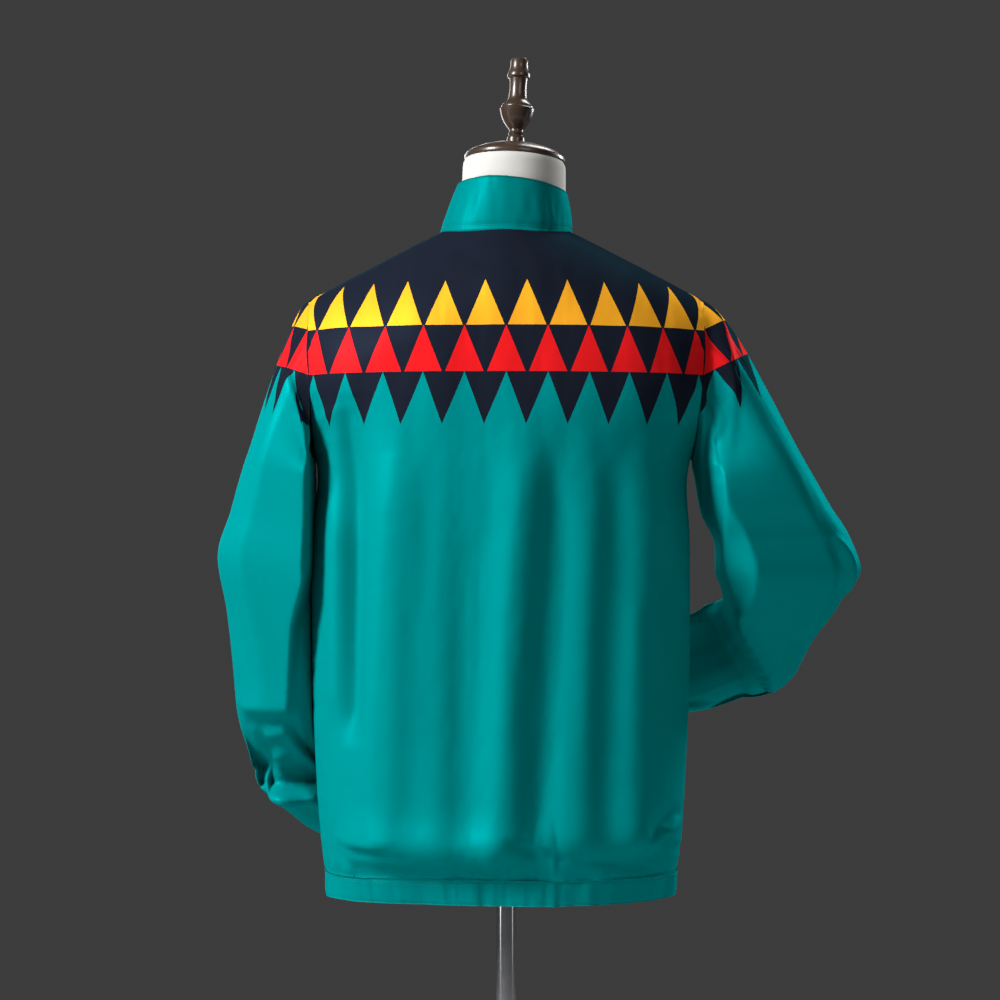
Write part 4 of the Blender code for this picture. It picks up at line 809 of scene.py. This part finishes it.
def sleeve_rings(side):
    """Points of each ring of the table, as (ring, column, 3)."""
    angle = 2 * math.pi * np.arange(AROUND) / AROUND
    rings = []
    for r, swing in zip(SLEEVES[side], np.radians(SWINGS[side])):
        half_x = (r.outer_x - r.inner_x) / 2
        across = np.array([side * half_x, half_x * math.tan(swing), (r.outer_z - r.inner_z) / 2])
        rear = np.array([-side * math.sin(swing), math.cos(swing), 0])
        centre = np.array([side * (r.inner_x + r.outer_x) / 2, r.y, (r.inner_z + r.outer_z) / 2])
        turned = (angle + swing)[:, None]
        rings.append(centre - np.cos(turned) * across + r.depth * np.sin(turned) * rear)
    return np.array(rings)


def clear_of_body(points, side):
    """Moves a sleeve's points outwards where they'd touch the body's side."""
    x, y, z = points[..., 0], points[..., 1], points[..., 2]
    depth = np.where(y > 0, column(BODY, "back", z), column(BODY, "front", z))
    outline = column(BODY, "half_width", z) * section_side(y, depth) + side * sway_at(z)
    near = np.where(z < UNDERARM - 0.012, outline + WALL + 2 * GAP, 0)
    moved = points.copy()
    moved[..., 0] = side * np.maximum(side * x, near)
    return moved


def sleeve_fold_height(side, rows):
    """How far the folds raise each point of a sleeve. Rows before the first ring count back from it."""
    at = ((np.arange(rows) - CAP_ROWS) / RING_STEPS)[:, None]
    angle = 360 * np.arange(AROUND)[None, :] / AROUND
    height = np.zeros((rows, AROUND))
    for fold in SLEEVE_FOLDS[side]:
        along = np.clip((at - fold.first) / (fold.last - fold.first), 0, 1)
        off = (angle - fold.angle_first - (fold.angle_last - fold.angle_first) * along + 180) % 360 - 180
        height += fold.rise * np.sin(math.pi * along) ** 0.8 * bell(off, fold.spread)
    return height * smoothstep(0, CAP_ROWS / 2, np.arange(rows))[:, None]


def sleeve_grid(side):
    """A sleeve's mid-wall points from the armhole to the cuff seam, and its outward normals."""
    start, leaves, start_outward = armhole_ring(side)
    rings = sleeve_rings(side)
    slopes = np.gradient(rings, axis=0)
    first = rings[0]
    reach = np.linalg.norm(first - start, axis=1)[:, None]
    lead = start + leaves * np.maximum(CAP_LEAD[side] * reach, 0.006)
    arrive = first - unit(slopes[0]) * np.maximum(0.36 * reach, 0.004)
    t = ((np.arange(CAP_ROWS) / CAP_ROWS) ** 1.25)[:, None, None]
    cap = start * (1 - t) ** 3 + 3 * lead * t * (1 - t) ** 2 + 3 * arrive * t * t * (1 - t) + first * t**3
    t = (np.arange(RING_STEPS) / RING_STEPS)[:, None, None]
    tube = [hermite(rings[k], rings[k + 1], slopes[k], slopes[k + 1], t) for k in range(len(rings) - 1)]
    points = np.concatenate([cap, *tube, rings[-1:]])
    points += sleeve_fold_height(side, len(points))[..., None] * side * grid_normals(points, wrap=True)
    outward = side * grid_normals(points, wrap=True)
    points += sleeve_detail(side, points, outward)[..., None] * outward
    points[..., 1] += lapping(side, points, outward)
    points[1:] = clear_of_body(points[1:], side)
    outward = side * grid_normals(points, wrap=True)
    outward[0] = start_outward
    return points, outward


def cuff_grid(side, sleeve):
    """A cuff's points and normals: the sleeve's last ring carried on and drawn in."""
    run = unit(sleeve[-1].mean(0) - sleeve[-2 * RING_STEPS - 1].mean(0))
    start = sleeve[-1] + run * GAP
    centre = start.mean(0)
    share = np.linspace(0, 1, CUFF_ROWS + 1)[:, None, None]
    points = centre + (start - centre) * (1 + (CUFF_DRAW_IN - 1) * share) + run * CUFF_LENGTH * share
    return points, side * grid_normals(points, wrap=True)


# ---------------------------------------------------------------- meshes
def add_piece(name, mesh, finish, sharp_from=None):
    """A mesh as a visible piece on the garment's body."""
    mesh.shade_smooth()
    if sharp_from:
        mesh.set_sharp_from_angle(angle=math.radians(sharp_from))
    mesh.materials.append(finish)
    made = bpy.data.objects.new(name, mesh)
    bpy.context.scene.collection.objects.link(made)
    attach(made, "garment_and_stand")
    return made


def mesh_of(name, vertices, faces):
    mesh = bpy.data.meshes.new(name)
    mesh.from_pydata(np.asarray(vertices).tolist(), [], [list(map(int, face)) for face in faces])
    mesh.update()
    return mesh


def shell(name, points, normals, finish, slot="teal_satin", wrap=False, wall=THIN, print_at=None):
    """A thin closed wall of cloth about a grid of points. `print_at` places it on the yoke's pattern."""
    rows, columns = points.shape[:2]
    count = rows * columns
    vertices = np.concatenate([(points + side * wall / 2 * normals).reshape(-1, 3) for side in (1, -1)])
    index = np.arange(count).reshape(rows, columns)
    edges = [] if wrap else [index[:, 0], index[::-1, -1]]
    if wrap:
        index = np.concatenate([index, index[:, :1]], axis=1)
    a, b, c, d = index[:-1, :-1], index[:-1, 1:], index[1:, 1:], index[1:, :-1]
    front = np.stack([a, b, c, d], axis=-1).reshape(-1, 4)
    faces = [front, front[:, ::-1] + count]
    for edge in (index[0, ::-1], index[-1], *edges):
        faces.append(np.stack([edge[1:], edge[:-1], edge[:-1] + count, edge[1:] + count], axis=-1))
    faces = np.concatenate(faces)
    square_on = np.cross(vertices[b] - vertices[a], vertices[d] - vertices[a])
    if (square_on * normals[:-1, : square_on.shape[1]]).sum() <= 0:
        faces = faces[:, ::-1]
    made = add_piece(name, mesh_of(name, vertices, faces), finish)
    for word, values in zip(("print_u", "print_v"), print_at or ()):
        layer = made.data.attributes.new(word, "FLOAT", "POINT")
        layer.data.foreach_set("value", np.tile(np.broadcast_to(values, (rows, columns)).ravel(), 2))
    return made


def many(name, places, outline, faces, finish):
    """One mesh of many small copies of a shape, each moved by its own (origin, x, y, z) rows."""
    vertices = places[:, None, 0] + np.einsum("kj,njc->nkc", np.array(outline), places[:, 1:])
    steps = (np.arange(len(places)) * len(outline))[:, None]
    copies = [corners for face in faces for corners in np.array(face)[None, :] + steps]
    return add_piece(name, mesh_of(name, vertices.reshape(-1, 3), copies), finish)


def four_sided(*firsts):
    """Faces round a small tube, by the number of each ring's first point."""
    return [(r + k, r + 4 + k, r + 4 + (k + 1) % 4, r + (k + 1) % 4) for r in firsts for k in range(4)]


def along_line(line, normals, pitch):
    """Evenly spaced places on a line, each as (origin, along, outwards, sideways)."""
    length = length_along(line)
    at = np.arange(pitch / 2, length[-1], pitch)
    run = unit(read_at(at + pitch * 0.2, length, line) - read_at(at - pitch * 0.2, length, line))
    out = unit(square_to(unit(read_at(at, length, normals)), run))
    return np.stack([read_at(at, length, line), run, out, np.cross(run, out)], axis=1)


STITCH_PITCH, STITCH_LENGTH, THREAD = 0.0030, 0.0023, 0.00022


def stitches(name, line, normals, finish):
    """A row of lockstitch on the cloth's outside."""
    half, r = STITCH_LENGTH / 2, THREAD
    outline = [(-half, -r * 0.5, 0), (half, -r * 0.5, 0)]
    for x, size in ((-half * 0.72, 0.75), (0, 1.0), (half * 0.72, 0.75)):
        outline += [(x, r * size, 0), (x, 0, r * size), (x, -r * size * 0.5, 0), (x, 0, -r * size)]
    faces = [(0, 2 + k, 2 + (k + 1) % 4) for k in range(4)]
    faces += [(1, 10 + (k + 1) % 4, 10 + k) for k in range(4)]
    places = along_line(line + normals * (THIN / 2 + THREAD * 0.4), normals, STITCH_PITCH)
    return many(name, places, outline, faces + four_sided(2, 6), finish)


# ---------------------------------------------------------------- materials
class Tree:
    """A material's nodes, with short calls to add and join them."""

    def __init__(self, name):
        self.material = bpy.data.materials.new(name)
        self.material.use_nodes = True
        self.nodes, self.links = self.material.node_tree.nodes, self.material.node_tree.links
        self.shader = self.nodes["Principled BSDF"]

    def put(self, target, value):
        """Joins a node's output to a socket, or sets the socket to a value."""
        if isinstance(value, bpy.types.NodeSocket):
            self.links.new(value, target)
        elif value is not None:
            target.default_value = value

    def put_all(self, node, **inputs):
        for word, value in inputs.items():
            name = "Specular IOR Level" if word == "ior_level" else word.replace("_", " ").title()
            self.put(node.inputs[name], value)
        return node

    def add(self, kind, **inputs):
        return self.put_all(self.nodes.new("ShaderNode" + kind), **inputs)

    def math(self, operation, *values):
        node = self.add("Math")
        node.operation = operation
        for target, value in zip(node.inputs, values):
            self.put(target, value)
        return node.outputs[0]

    def mix(self, share, first, second):
        node = self.add("Mix")
        node.data_type = "RGBA"
        colours = [target for target in node.inputs if target.type == "RGBA"]
        for target, value in zip([node.inputs["Factor"], *colours], (share, first, second)):
            self.put(target, value)
        return next(output for output in node.outputs if output.type == "RGBA")

    def noise(self, scale, detail=2.0, stretch=(1, 1, 1), roughness=0.5):
        place = self.add("Mapping", vector=self.add("TexCoord").outputs["Object"], scale=stretch)
        look = {"scale": scale, "detail": detail, "roughness": roughness}
        return self.add("TexNoise", vector=place.outputs["Vector"], **look).outputs["Fac"]

    def bump(self, height, strength, distance, onto=None):
        node = self.add("Bump", strength=strength, distance=distance, height=height, normal=onto)
        return node.outputs["Normal"]

    def finish(self, colour, roughness, **inputs):
        self.put_all(self.shader, base_color=colour, roughness=roughness, **inputs)
        return self.material


def rgb(red, green, blue):
    """A colour given as sRGB from 0 to 255, as the shaders take it."""
    linear = [v / 3294.6 if v <= 10.31 else ((v / 255 + 0.055) / 1.055) ** 2.4 for v in (red, green, blue)]
    return (*linear, 1.0)


# The collar's teal is the body's teal cloth drawn a shade darker: painted shade, not a different cloth.
TEAL, COLLAR_TEAL_PAINTED_SHADE, NAVY = rgb(0, 138, 139), rgb(0, 120, 121), rgb(26, 31, 43)
RED, AMBER = rgb(232, 30, 34), rgb(248, 172, 40)

# The yoke's pattern: rows of upright triangles on navy, and pointed teeth at its lower edge. A plain
# generic design in place of the printed one.
PrintRow = namedtuple("PrintRow", "bottom top offset width colour")
PRINT_PERIOD = 0.0427
PRINT_ROWS = (PrintRow(1.371, 1.419, 0.0, 0.92, AMBER), PrintRow(1.323, 1.371, 0.5, 0.92, RED))
TEETH_BOTTOM, TEETH_TOP = 1.269, 1.323
FAR_PERIODS = 500  # keeps the pattern's periods above 0 everywhere


def printed_colour(tree):
    """The yoke's pattern, by each point's place on it."""
    u, v = (tree.add("Attribute") for _ in range(2))
    u.attribute_name, v.attribute_name = "print_u", "print_v"
    u, v = u.outputs["Fac"], v.outputs["Fac"]

    def from_middle(offset):
        turn = tree.math("FRACT", tree.math("ADD", u, offset + FAR_PERIODS))
        return tree.math("MULTIPLY", tree.math("ABSOLUTE", tree.math("SUBTRACT", turn, 0.5)), 2)

    def share(low, high):
        return tree.math("DIVIDE", tree.math("SUBTRACT", v, low), high - low)

    tooth = tree.math("LESS_THAN", from_middle(0.0), share(TEETH_BOTTOM, TEETH_TOP))
    navy = tree.math("MAXIMUM", tooth, tree.math("GREATER_THAN", v, TEETH_TOP))
    navy = tree.math("MULTIPLY", navy, tree.math("GREATER_THAN", v, TEETH_BOTTOM))
    colour = tree.mix(navy, TEAL, NAVY)
    for row in PRINT_ROWS:
        up = share(row.bottom, row.top)
        narrowing = tree.math("MULTIPLY", tree.math("SUBTRACT", 1.0, up), row.width)
        inside = tree.math("LESS_THAN", from_middle(row.offset), narrowing)
        inside = tree.math("MULTIPLY", inside, tree.math("GREATER_THAN", up, 0.0))
        colour = tree.mix(inside, colour, row.colour)
    return colour


def satin(name, colour=None):
    """Satin-weave cloth with a soft sheen, in one colour or with the yoke's pattern."""
    tree = Tree(name)
    weave = tree.bump(tree.noise(1500, 2.0, (1, 1, 0.35)), 0.12, 0.0002)
    slubs = tree.bump(tree.noise(420, 2.0, (1, 1, 0.03)), 0.10, 0.0004, weave)
    wrinkles = tree.bump(tree.noise(60, 3.0, (1, 1, 0.4)), 0.12, 0.0010, slubs)
    sheen = tree.math("MULTIPLY_ADD", tree.noise(300, 2.0, (1, 1, 0.05)), 0.12, 0.46)
    look = {"metallic": 0.20, "ior_level": 0.0, "anisotropic": 0.2, "specular_tint": (0.05, 0.6, 0.6, 1)}
    return tree.finish(colour or printed_colour(tree), sheen, normal=wrinkles, **look)


def plain(name, colour, roughness, metallic=0.0, weave=None):
    """One colour, worn a little unevenly. `weave` gives the scale, strength and depth of a fine bump."""
    tree = Tree(name)
    if weave:
        scale, strength, distance = weave
        tree.put_all(tree.shader, normal=tree.bump(tree.noise(scale), strength, distance))
    wear = tree.math("MULTIPLY_ADD", tree.noise(30), 0.08, roughness - 0.04)
    return tree.finish(colour, wear, metallic=metallic)


def canvas():
    """Plain cotton stretched over the form, with its weave just showing."""
    tree = Tree("form_cover")
    colour = tree.mix(tree.noise(14, 3.0), rgb(204, 203, 199), rgb(190, 188, 183))
    weave = tree.bump(tree.noise(1300), 0.25, 0.0003)
    soft = tree.bump(tree.noise(60, 2.0, (1, 1, 0.4)), 0.25, 0.0010, weave)
    return tree.finish(colour, 0.85, normal=soft, ior_level=0.25)


def varnished():
    """Dark turned wood under gloss varnish, its grain along the turning axis."""
    tree = Tree("dark_wood")
    grain = tree.noise(90, 4.0, (1, 1, 0.12), 0.6)
    colour = tree.mix(grain, rgb(30, 22, 17), rgb(78, 60, 47))
    pores = tree.bump(grain, 0.06, 0.0004)
    return tree.finish(colour, 0.32, normal=pores, ior_level=0.4, coat_weight=0.25, coat_roughness=0.14)


# ---------------------------------------------------------------- cloth pieces
Cut = namedtuple("Cut", "width length area")
BACK_CUT = Cut(0.57, 0.75, 0.356)
FRONT_CUT = Cut(0.285, 0.75, 0.174)
SLEEVE_CUT = Cut(0.47, 0.71, 0.190)
HEM_CUT = Cut(1.06, 0.0275, 0.0290)
COLLAR_CUT = Cut(0.462, 0.064, 0.0232)
CUFF_CUT = Cut(0.25, 0.029, 0.0072)
SIDES = ((LEFT, "left"), (RIGHT, "right"))
ARMHOLE_X, ARMHOLE_DEPTH = 0.205, 0.090  # the armhole as the sleeves' pattern takes it
SEAM_PERIODS = 5.0  # of the pattern from the middle to the armhole seam
PRINT_TILT = {LEFT: 0.36, RIGHT: 0.51}  # how far the pattern's rows rise outwards along a sleeve's width
TUCKED_IN, TUCKED_DOWN = 0.0028, 0.0040  # how the body's lower edge goes in behind the hem band
SEAM_ROW = 2  # of the collar and the cuffs, from their seam


def cloth(node, grid, finish, cut, held, rests_on, seam=None, **options):
    """A cut piece in place of its solid. `seam` is the line, normals and thread of its stitching."""
    piece = shell("cloth_" + node.replace("_panel", ""), *grid, finish, **options)
    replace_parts(piece, node)
    sewn_on = [stitches("stitches_" + node.replace("_band", ""), *seam)] if seam else []


def make_body(finish):
    for face in (BACK, FRONT):
        points, normals = (grid.copy() for grid in body_panel(face))
        behind = normals[0].copy()
        behind[[0, -1], 1:] = 0
        points[0] -= TUCKED_IN * unit(behind) + (0, 0, TUCKED_DOWN)
        smooth = body_grid(face)
        middle = smooth.shape[1] // 2
        u = np.array([length_along(row) for row in smooth])
        u, v = (u - u[:, middle : middle + 1]) / PRINT_PERIOD, smooth[..., 2]
        if face == BACK:
            cloth("back_panel", (points, normals), finish, BACK_CUT, "draped", ["form_body"], print_at=(u, v))
            continue
        for side, word in SIDES:
            half = front_half(points, normals, side)
            at = tuple(grid[:, middle::side] for grid in (u, v))
            cloth("front_panel_" + word, half, finish, FRONT_CUT, "draped", ["form_body"], print_at=at)


def row_at(points, normals, height):
    """The line where a grid is at a height, column by column, and its normals."""
    columns = range(points.shape[1])
    line, facing = (
        np.concatenate([read_at([height], points[:, j, 2], grid[:, j]) for j in columns])
        for grid in (points, normals)
    )
    return line, unit(facing)


def make_bands(finish, collar_finish_painted_shade, thread):
    hem, collar = hem_panel(), collar_grid()
    seam = (*row_at(*hem, HEM_SEAM), thread)
    cloth("hem_band", hem, finish, HEM_CUT, "gathered", ["back_panel"], seam)
    seam = (*(grid[SEAM_ROW] for grid in collar), thread)
    # the collar's finish is the darker teal, painted shade on the same cloth
    cloth("collar", collar, collar_finish_painted_shade, COLLAR_CUT, "draped", ["back_panel"], seam)


def make_sleeves(finish, cuff_finish, thread):
    for side, word in SIDES:
        points, outward = sleeve_grid(side)
        cuff, cuff_outward = cuff_grid(side, points)
        outward[-1] = cuff_outward[0]
        out = side * points[..., 0] - ARMHOLE_X
        v = points[..., 2] - PRINT_TILT[side] * out
        u = SEAM_PERIODS + (out + ARMHOLE_DEPTH - np.abs(points[..., 1])) / PRINT_PERIOD
        rests_on = ["back_panel", "front_panel_" + word]
        grid = (points, outward)
        cloth("sleeve_" + word, grid, finish, SLEEVE_CUT, "draped", rests_on, wrap=True, print_at=(u, v))
        up = np.linspace(0, 1, CUFF_ROWS + 1)[:, None]
        there_and_back = np.abs(np.arange(AROUND) / AROUND * 2 - 1)[None, :] * 26
        ripples = 0.0011 * noise(there_and_back, up * 1.2, 51 + side) * smoothstep(0, 0.15, up)
        cuff = cuff + ripples[..., None] * cuff_outward
        seam = (*(grid[SEAM_ROW, [*range(AROUND), 0]] for grid in (cuff, cuff_outward)), thread)
        grid = (cuff, side * grid_normals(cuff, wrap=True))
        cloth("cuff_" + word, grid, cuff_finish, CUFF_CUT, "gathered", ["sleeve_" + word], seam, wrap=True)


# ---------------------------------------------------------------- zip
def make_tape(word, side, finish):
    """A tape behind one front edge, parallel to the cloth it's sewn to."""
    (near, far), (near_normals, _) = zip_edge(side)
    points = []
    for x in np.linspace(TAPE_INNER, TAPE_OUTER, 5):
        share = ((side * x - near[:, 0]) / (far[:, 0] - near[:, 0]))[:, None]
        points.append(near + (far - near) * share - near_normals * TAPE_BEHIND)
        points[-1][:, 0] = side * x
    normals = np.repeat(unit(near_normals * (0, 1, 1))[:, None], len(points), axis=1)
    name, wall = "zip_tape_" + word, TAPE_THICK * 0.7
    piece = shell("cloth_" + name, np.stack(points, axis=1), normals, finish, "zip_tape", wall=wall)
    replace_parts(piece, name)
    return piece


# how far out from the middle, and the shares of the tooth's full height and thickness there
TOOTH_SHAPE = ((-TOOTH_REACH, 0.9, 0.75), (-0.0004, 1.0, 1.0), (0.0002, 0.8, 0.9), (0.0007, 0.45, 0.7))


def make_teeth(metal):
    """The chain's single teeth, one piece a side."""
    line = zip_edge(LEFT)[0][0] * (0, 1, 1)
    ahead = unit(np.gradient(line, axis=0))[:, [0, 2, 1]] * (0, -1, 1)
    keep = np.linalg.norm(line - line[-1], axis=1) > SLIDER_DOWN + 0.001
    places = along_line((line - ahead * TAPE_BEHIND)[keep], ahead[keep], TOOTH_PITCH)
    # from the tape to just past the middle, narrowed at its head; frame: x up the zip, y forwards, z sideways
    outline, half, thick = [], TOOTH_PITCH * 0.36, TOOTH_THICK / 2
    for out, tall, deep in TOOTH_SHAPE:
        outline += [(s * half * tall, t * thick * deep, out) for s, t in ((-1, -1), (1, -1), (1, 1), (-1, 1))]
    faces = [(0, 1, 2, 3), (15, 14, 13, 12)] + four_sided(0, 4, 8)
    teeth = {}
    for side, word in SIDES:
        own = places[0 if side == LEFT else 1 :: 2].copy()
        own[:, 3] *= side
        teeth[side] = many("zip_teeth_" + word, own, outline, [f[::side] for f in faces], metal)
    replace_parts(teeth[LEFT], "zip_chain")
    return teeth


def make_zip(tape_finish, metal, thread):
    tapes = {side: make_tape(word, side, tape_finish) for side, word in SIDES}
    teeth = make_teeth(metal)
    for side, word in SIDES:
        (near, far), (facing, _) = zip_edge(side)
        share = ((ZIP_SEAM_X - side * near[:, 0]) / np.abs(far[:, 0] - near[:, 0]))[:, None]
        row = near + (far - near) * share
        seam = stitches("stitches_zip_" + word, row[2:-1], facing[2:-1], thread)


# ---------------------------------------------------------------- form and stand
def neck_place():
    """The frame of the neck's top: its middle, leaning and nodding with the neck."""
    lean = Matrix.Rotation(-NECK_LEAN, 4, "Y") @ Matrix.Rotation(NECK_NOD, 4, "X")
    return Matrix.Translation(NECK_TOP) @ lean


def join_rings(bm, low, high):
    for k in range(len(low)):
        n = (k + 1) % len(low)
        bm.faces.new((low[k], low[n], high[n], high[k]))


def make_form(finish):
    """Torso, arm ends and neck as one closed body."""
    bm = bmesh.new()
    grids = {face: body_grid(face, DRESS_FORM) for face in (BACK, FRONT)}
    rows, columns = grids[BACK].shape[:2]
    first_yoke = DRESS_FORM.body_rows
    neck_from = DRESS_FORM.side_columns
    neck_to = neck_from + DRESS_FORM.neck_columns
    shared = {}

    def vertex(face, i, j):
        on_side = j in (0, columns - 1) and i <= first_yoke
        on_shoulder = i == rows - 1 and not neck_from < j < neck_to
        key = (0 if on_side or on_shoulder else face, i, j)
        if key not in shared:
            x, y, z = grids[face][i, j]
            shared[key] = bm.verts.new((x, 0 if key[0] == 0 else y, z))
        return shared[key]

    for face in (BACK, FRONT):
        for i in range(rows - 1):
            for j in range(columns - 1):
                corners = ((i, j), (i, j + 1), (i + 1, j + 1), (i + 1, j))
                bm.faces.new([vertex(face, *corner) for corner in corners])
    for j, out in ((0, -1), (columns - 1, 1)):
        loop = [vertex(BACK, i, j) for i in range(first_yoke, rows)]
        loop += [vertex(FRONT, i, j) for i in range(rows - 2, first_yoke, -1)]
        arm_end = [v.co.copy() for v in loop]
        middle = sum(arm_end, Vector()) / len(loop)
        for share, rise in ((0.10, 0.45), (0.40, 0.85)):
            swell = Vector((out * rise * ARM_END_BULGE, 0, 0))
            ring = [bm.verts.new(place + (middle - place) * share + swell) for place in arm_end]
            join_rings(bm, loop, ring)
            loop = ring
        bm.faces.new(loop)
    bottom = [vertex(BACK, 0, j) for j in range(columns)]
    bm.faces.new(bottom + [vertex(FRONT, 0, j) for j in range(columns - 2, 0, -1)])
    loop = [vertex(BACK, rows - 1, j) for j in range(neck_to, neck_from - 1, -1)]
    loop += [vertex(FRONT, rows - 1, j) for j in range(neck_from + 1, neck_to)]
    top = neck_place()
    root = [v.co.copy() for v in loop]
    climb = [(row / NECK_ROWS, NECK_EDGE[0]) for row in range(1, NECK_ROWS + 1)]
    for share, edge in climb + [(1, edge) for edge in NECK_EDGE[1:]]:
        ring = []
        for v in root:
            depth = DRESS_FORM.neck_depth[BACK if v.y > 0 else FRONT]
            angle = math.atan2(v.y / depth, v.x / DRESS_FORM.neck_half)
            end = top @ Vector((edge.radius * math.cos(angle), edge.radius * math.sin(angle), -edge.drop))
            bend = Vector((end.x, end.y, v.z + (end.z - v.z) * 0.35))
            ring.append(bm.verts.new(v * (1 - share) ** 2 + bend * 2 * share * (1 - share) + end * share**2))
        join_rings(bm, loop, ring)
        loop = ring
    bm.faces.new(loop)
    bmesh.ops.recalc_face_normals(bm, faces=bm.faces)
    mesh = bpy.data.meshes.new("form_shape")
    bm.to_mesh(mesh)
    bm.free()
    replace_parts(add_piece("form_shape", mesh, finish, FORM_ROUNDED), "form_body")


def turned(name, profile, finish, slot, segments, place):
    """A turned piece with a rounder outline than its solid."""
    height, radius = np.array(profile).T[..., None]
    angle = 2 * math.pi * np.arange(segments) / segments
    matrix = np.array(place)
    rings = points_of(radius * np.cos(angle), radius * np.sin(angle), height)
    rings = rings @ matrix[:3, :3].T + matrix[:3, 3]
    index = np.arange(len(profile) * segments).reshape(-1, segments)
    after = np.roll(index, -1, axis=1)
    sides = np.stack([index[:-1], after[:-1], after[1:], index[1:]], axis=-1).reshape(-1, 4)
    mesh = mesh_of(name, rings.reshape(-1, 3), [*sides, index[0, ::-1], index[-1]])
    return add_piece(name, mesh, finish, ROUNDED)


def make_stand(wood, metal):
    cap_seat = neck_place() @ Matrix.Translation((0, 0, GAP))
    cap_height = CAP_PROFILE[-1].height + GAP - FINIAL_PROFILE[0].height
    finial_seat = cap_seat @ Matrix.Translation((0, 0, cap_height))
    foot = BASE_PROFILE[-1].height + GAP
    pole = (TurnedPoint(foot, POLE_RADIUS), TurnedPoint(FORM_BOTTOM - GAP, POLE_RADIUS))
    for node, profile, finish, slot, segments, place in (
        ("neck_cap", CAP_PROFILE, wood, "dark_wood", 96, cap_seat),
        ("finial", FINIAL_PROFILE, wood, "dark_wood", 64, finial_seat),
        ("base", BASE_PROFILE, metal, "chrome", 128, Matrix()),
        ("pole", pole, metal, "chrome", 48, Matrix()),
    ):
        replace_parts(turned(node + "_shape", profile, finish, slot, segments, place), node)


# ---------------------------------------------------------------- stage
FLOOR_RADIUS, FLOOR_SIDES = 3.2, 96
FLOOR_Z = -0.0005  # just under the base
BACKDROP = (0.046, 0.046, 0.047, 1)
Lamp = namedtuple("Lamp", "name location target size power")
LAMPS = (
    Lamp("key", (2.25, 1.35, 2.85), (0.05, 0, 1.15), (0.9, 1.2), 162),
    Lamp("fill", (-1.2, 2.6, 2.7), (0, 0, 1.15), (1.2, 1.2), 15),
    Lamp("rim", (-2.2, -1.9, 2.1), (-0.2, 0, 1.2), (0.6, 1.2), 55),
    Lamp("top", (-0.6, -0.9, 2.9), (0, 0, 1.3), (0.8, 0.8), 16),
    Lamp("front", (0.9, -3.0, 1.8), (0, 0, 1.15), (1.8, 1.8), 34),
    Lamp("low left", (2.2, 0.9, 0.80), (0, 0, 0.7), (0.3, 0.9), 3),
    Lamp("low right", (-2.2, 0.3, 0.80), (0, 0, 0.7), (0.3, 0.9), 1),
)
CAMERA_PLACE = (0.0064, 2.46, 1.1408)
FILM = 36.0  # the camera's film, in millimetres across
PICTURE, FOCAL, RAISED = 1000, 2300, 50  # pixels: its width, its focal length, and how far it looks up


def make_stage():
    angle = 2 * math.pi * np.arange(FLOOR_SIDES) / FLOOR_SIDES
    rim = points_of(FLOOR_RADIUS * np.cos(angle), FLOOR_RADIUS * np.sin(angle), FLOOR_Z)
    mesh = mesh_of("floor", rim, [range(FLOOR_SIDES)])
    mesh.materials.append(plain("floor", rgb(186, 186, 186), 0.7))
    floor = bpy.data.objects.new("floor", mesh)
    bpy.context.scene.collection.objects.link(floor)
    world = bpy.data.worlds.new("studio")
    world.use_nodes = True
    world.node_tree.nodes["Background"].inputs["Color"].default_value = BACKDROP
    bpy.context.scene.world = world
    bpy.context.scene.view_settings.view_transform = "Standard"
    for lamp in LAMPS:
        light = bpy.data.lights.new(lamp.name, "AREA")
        light.shape, light.energy = "RECTANGLE", lamp.power
        light.size, light.size_y = lamp.size
        made = bpy.data.objects.new(lamp.name, light)
        made.location = lamp.location
        towards = Vector(lamp.target) - Vector(lamp.location)
        made.rotation_euler = towards.to_track_quat("-Z", "Y").to_euler()
        bpy.context.scene.collection.objects.link(made)


def make_camera():
    camera = bpy.data.objects.new("camera", bpy.data.cameras.new("camera"))
    camera.data.sensor_width, camera.data.lens = FILM, FILM * FOCAL / PICTURE
    camera.location = CAMERA_PLACE
    camera.rotation_euler = (math.pi / 2 + math.atan(RAISED / FOCAL), 0, math.pi)
    bpy.context.scene.collection.objects.link(camera)
    bpy.context.scene.camera = camera


# ---------------------------------------------------------------- the whole
printed = satin("satin_printed")
teal = satin("satin_teal", TEAL)
# the same satin as the body, its teal darkened on the collar as painted shade
collar_satin_painted_shade = satin("satin_collar_painted_shade", COLLAR_TEAL_PAINTED_SHADE)
thread = plain("thread", rgb(0, 120, 116), 0.5)
tape = plain("tape", rgb(0, 92, 92), 0.75, weave=(1200, 0.4, 0.0003))
silver = plain("plated", rgb(196, 196, 194), 0.28, 1.0, weave=(500, 0.05, 0.0002))
chrome = plain("polished", rgb(215, 216, 218), 0.16, 1.0)

make_body(printed)
make_bands(teal, collar_satin_painted_shade, thread)
make_sleeves(printed, teal, thread)
make_zip(tape, silver, thread)
make_form(canvas())
make_stand(varnished(), chrome)
for node in ("zip_slider", "zip_pull"):
    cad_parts[node].material_slots[0].material = silver
make_stage()
make_camera()
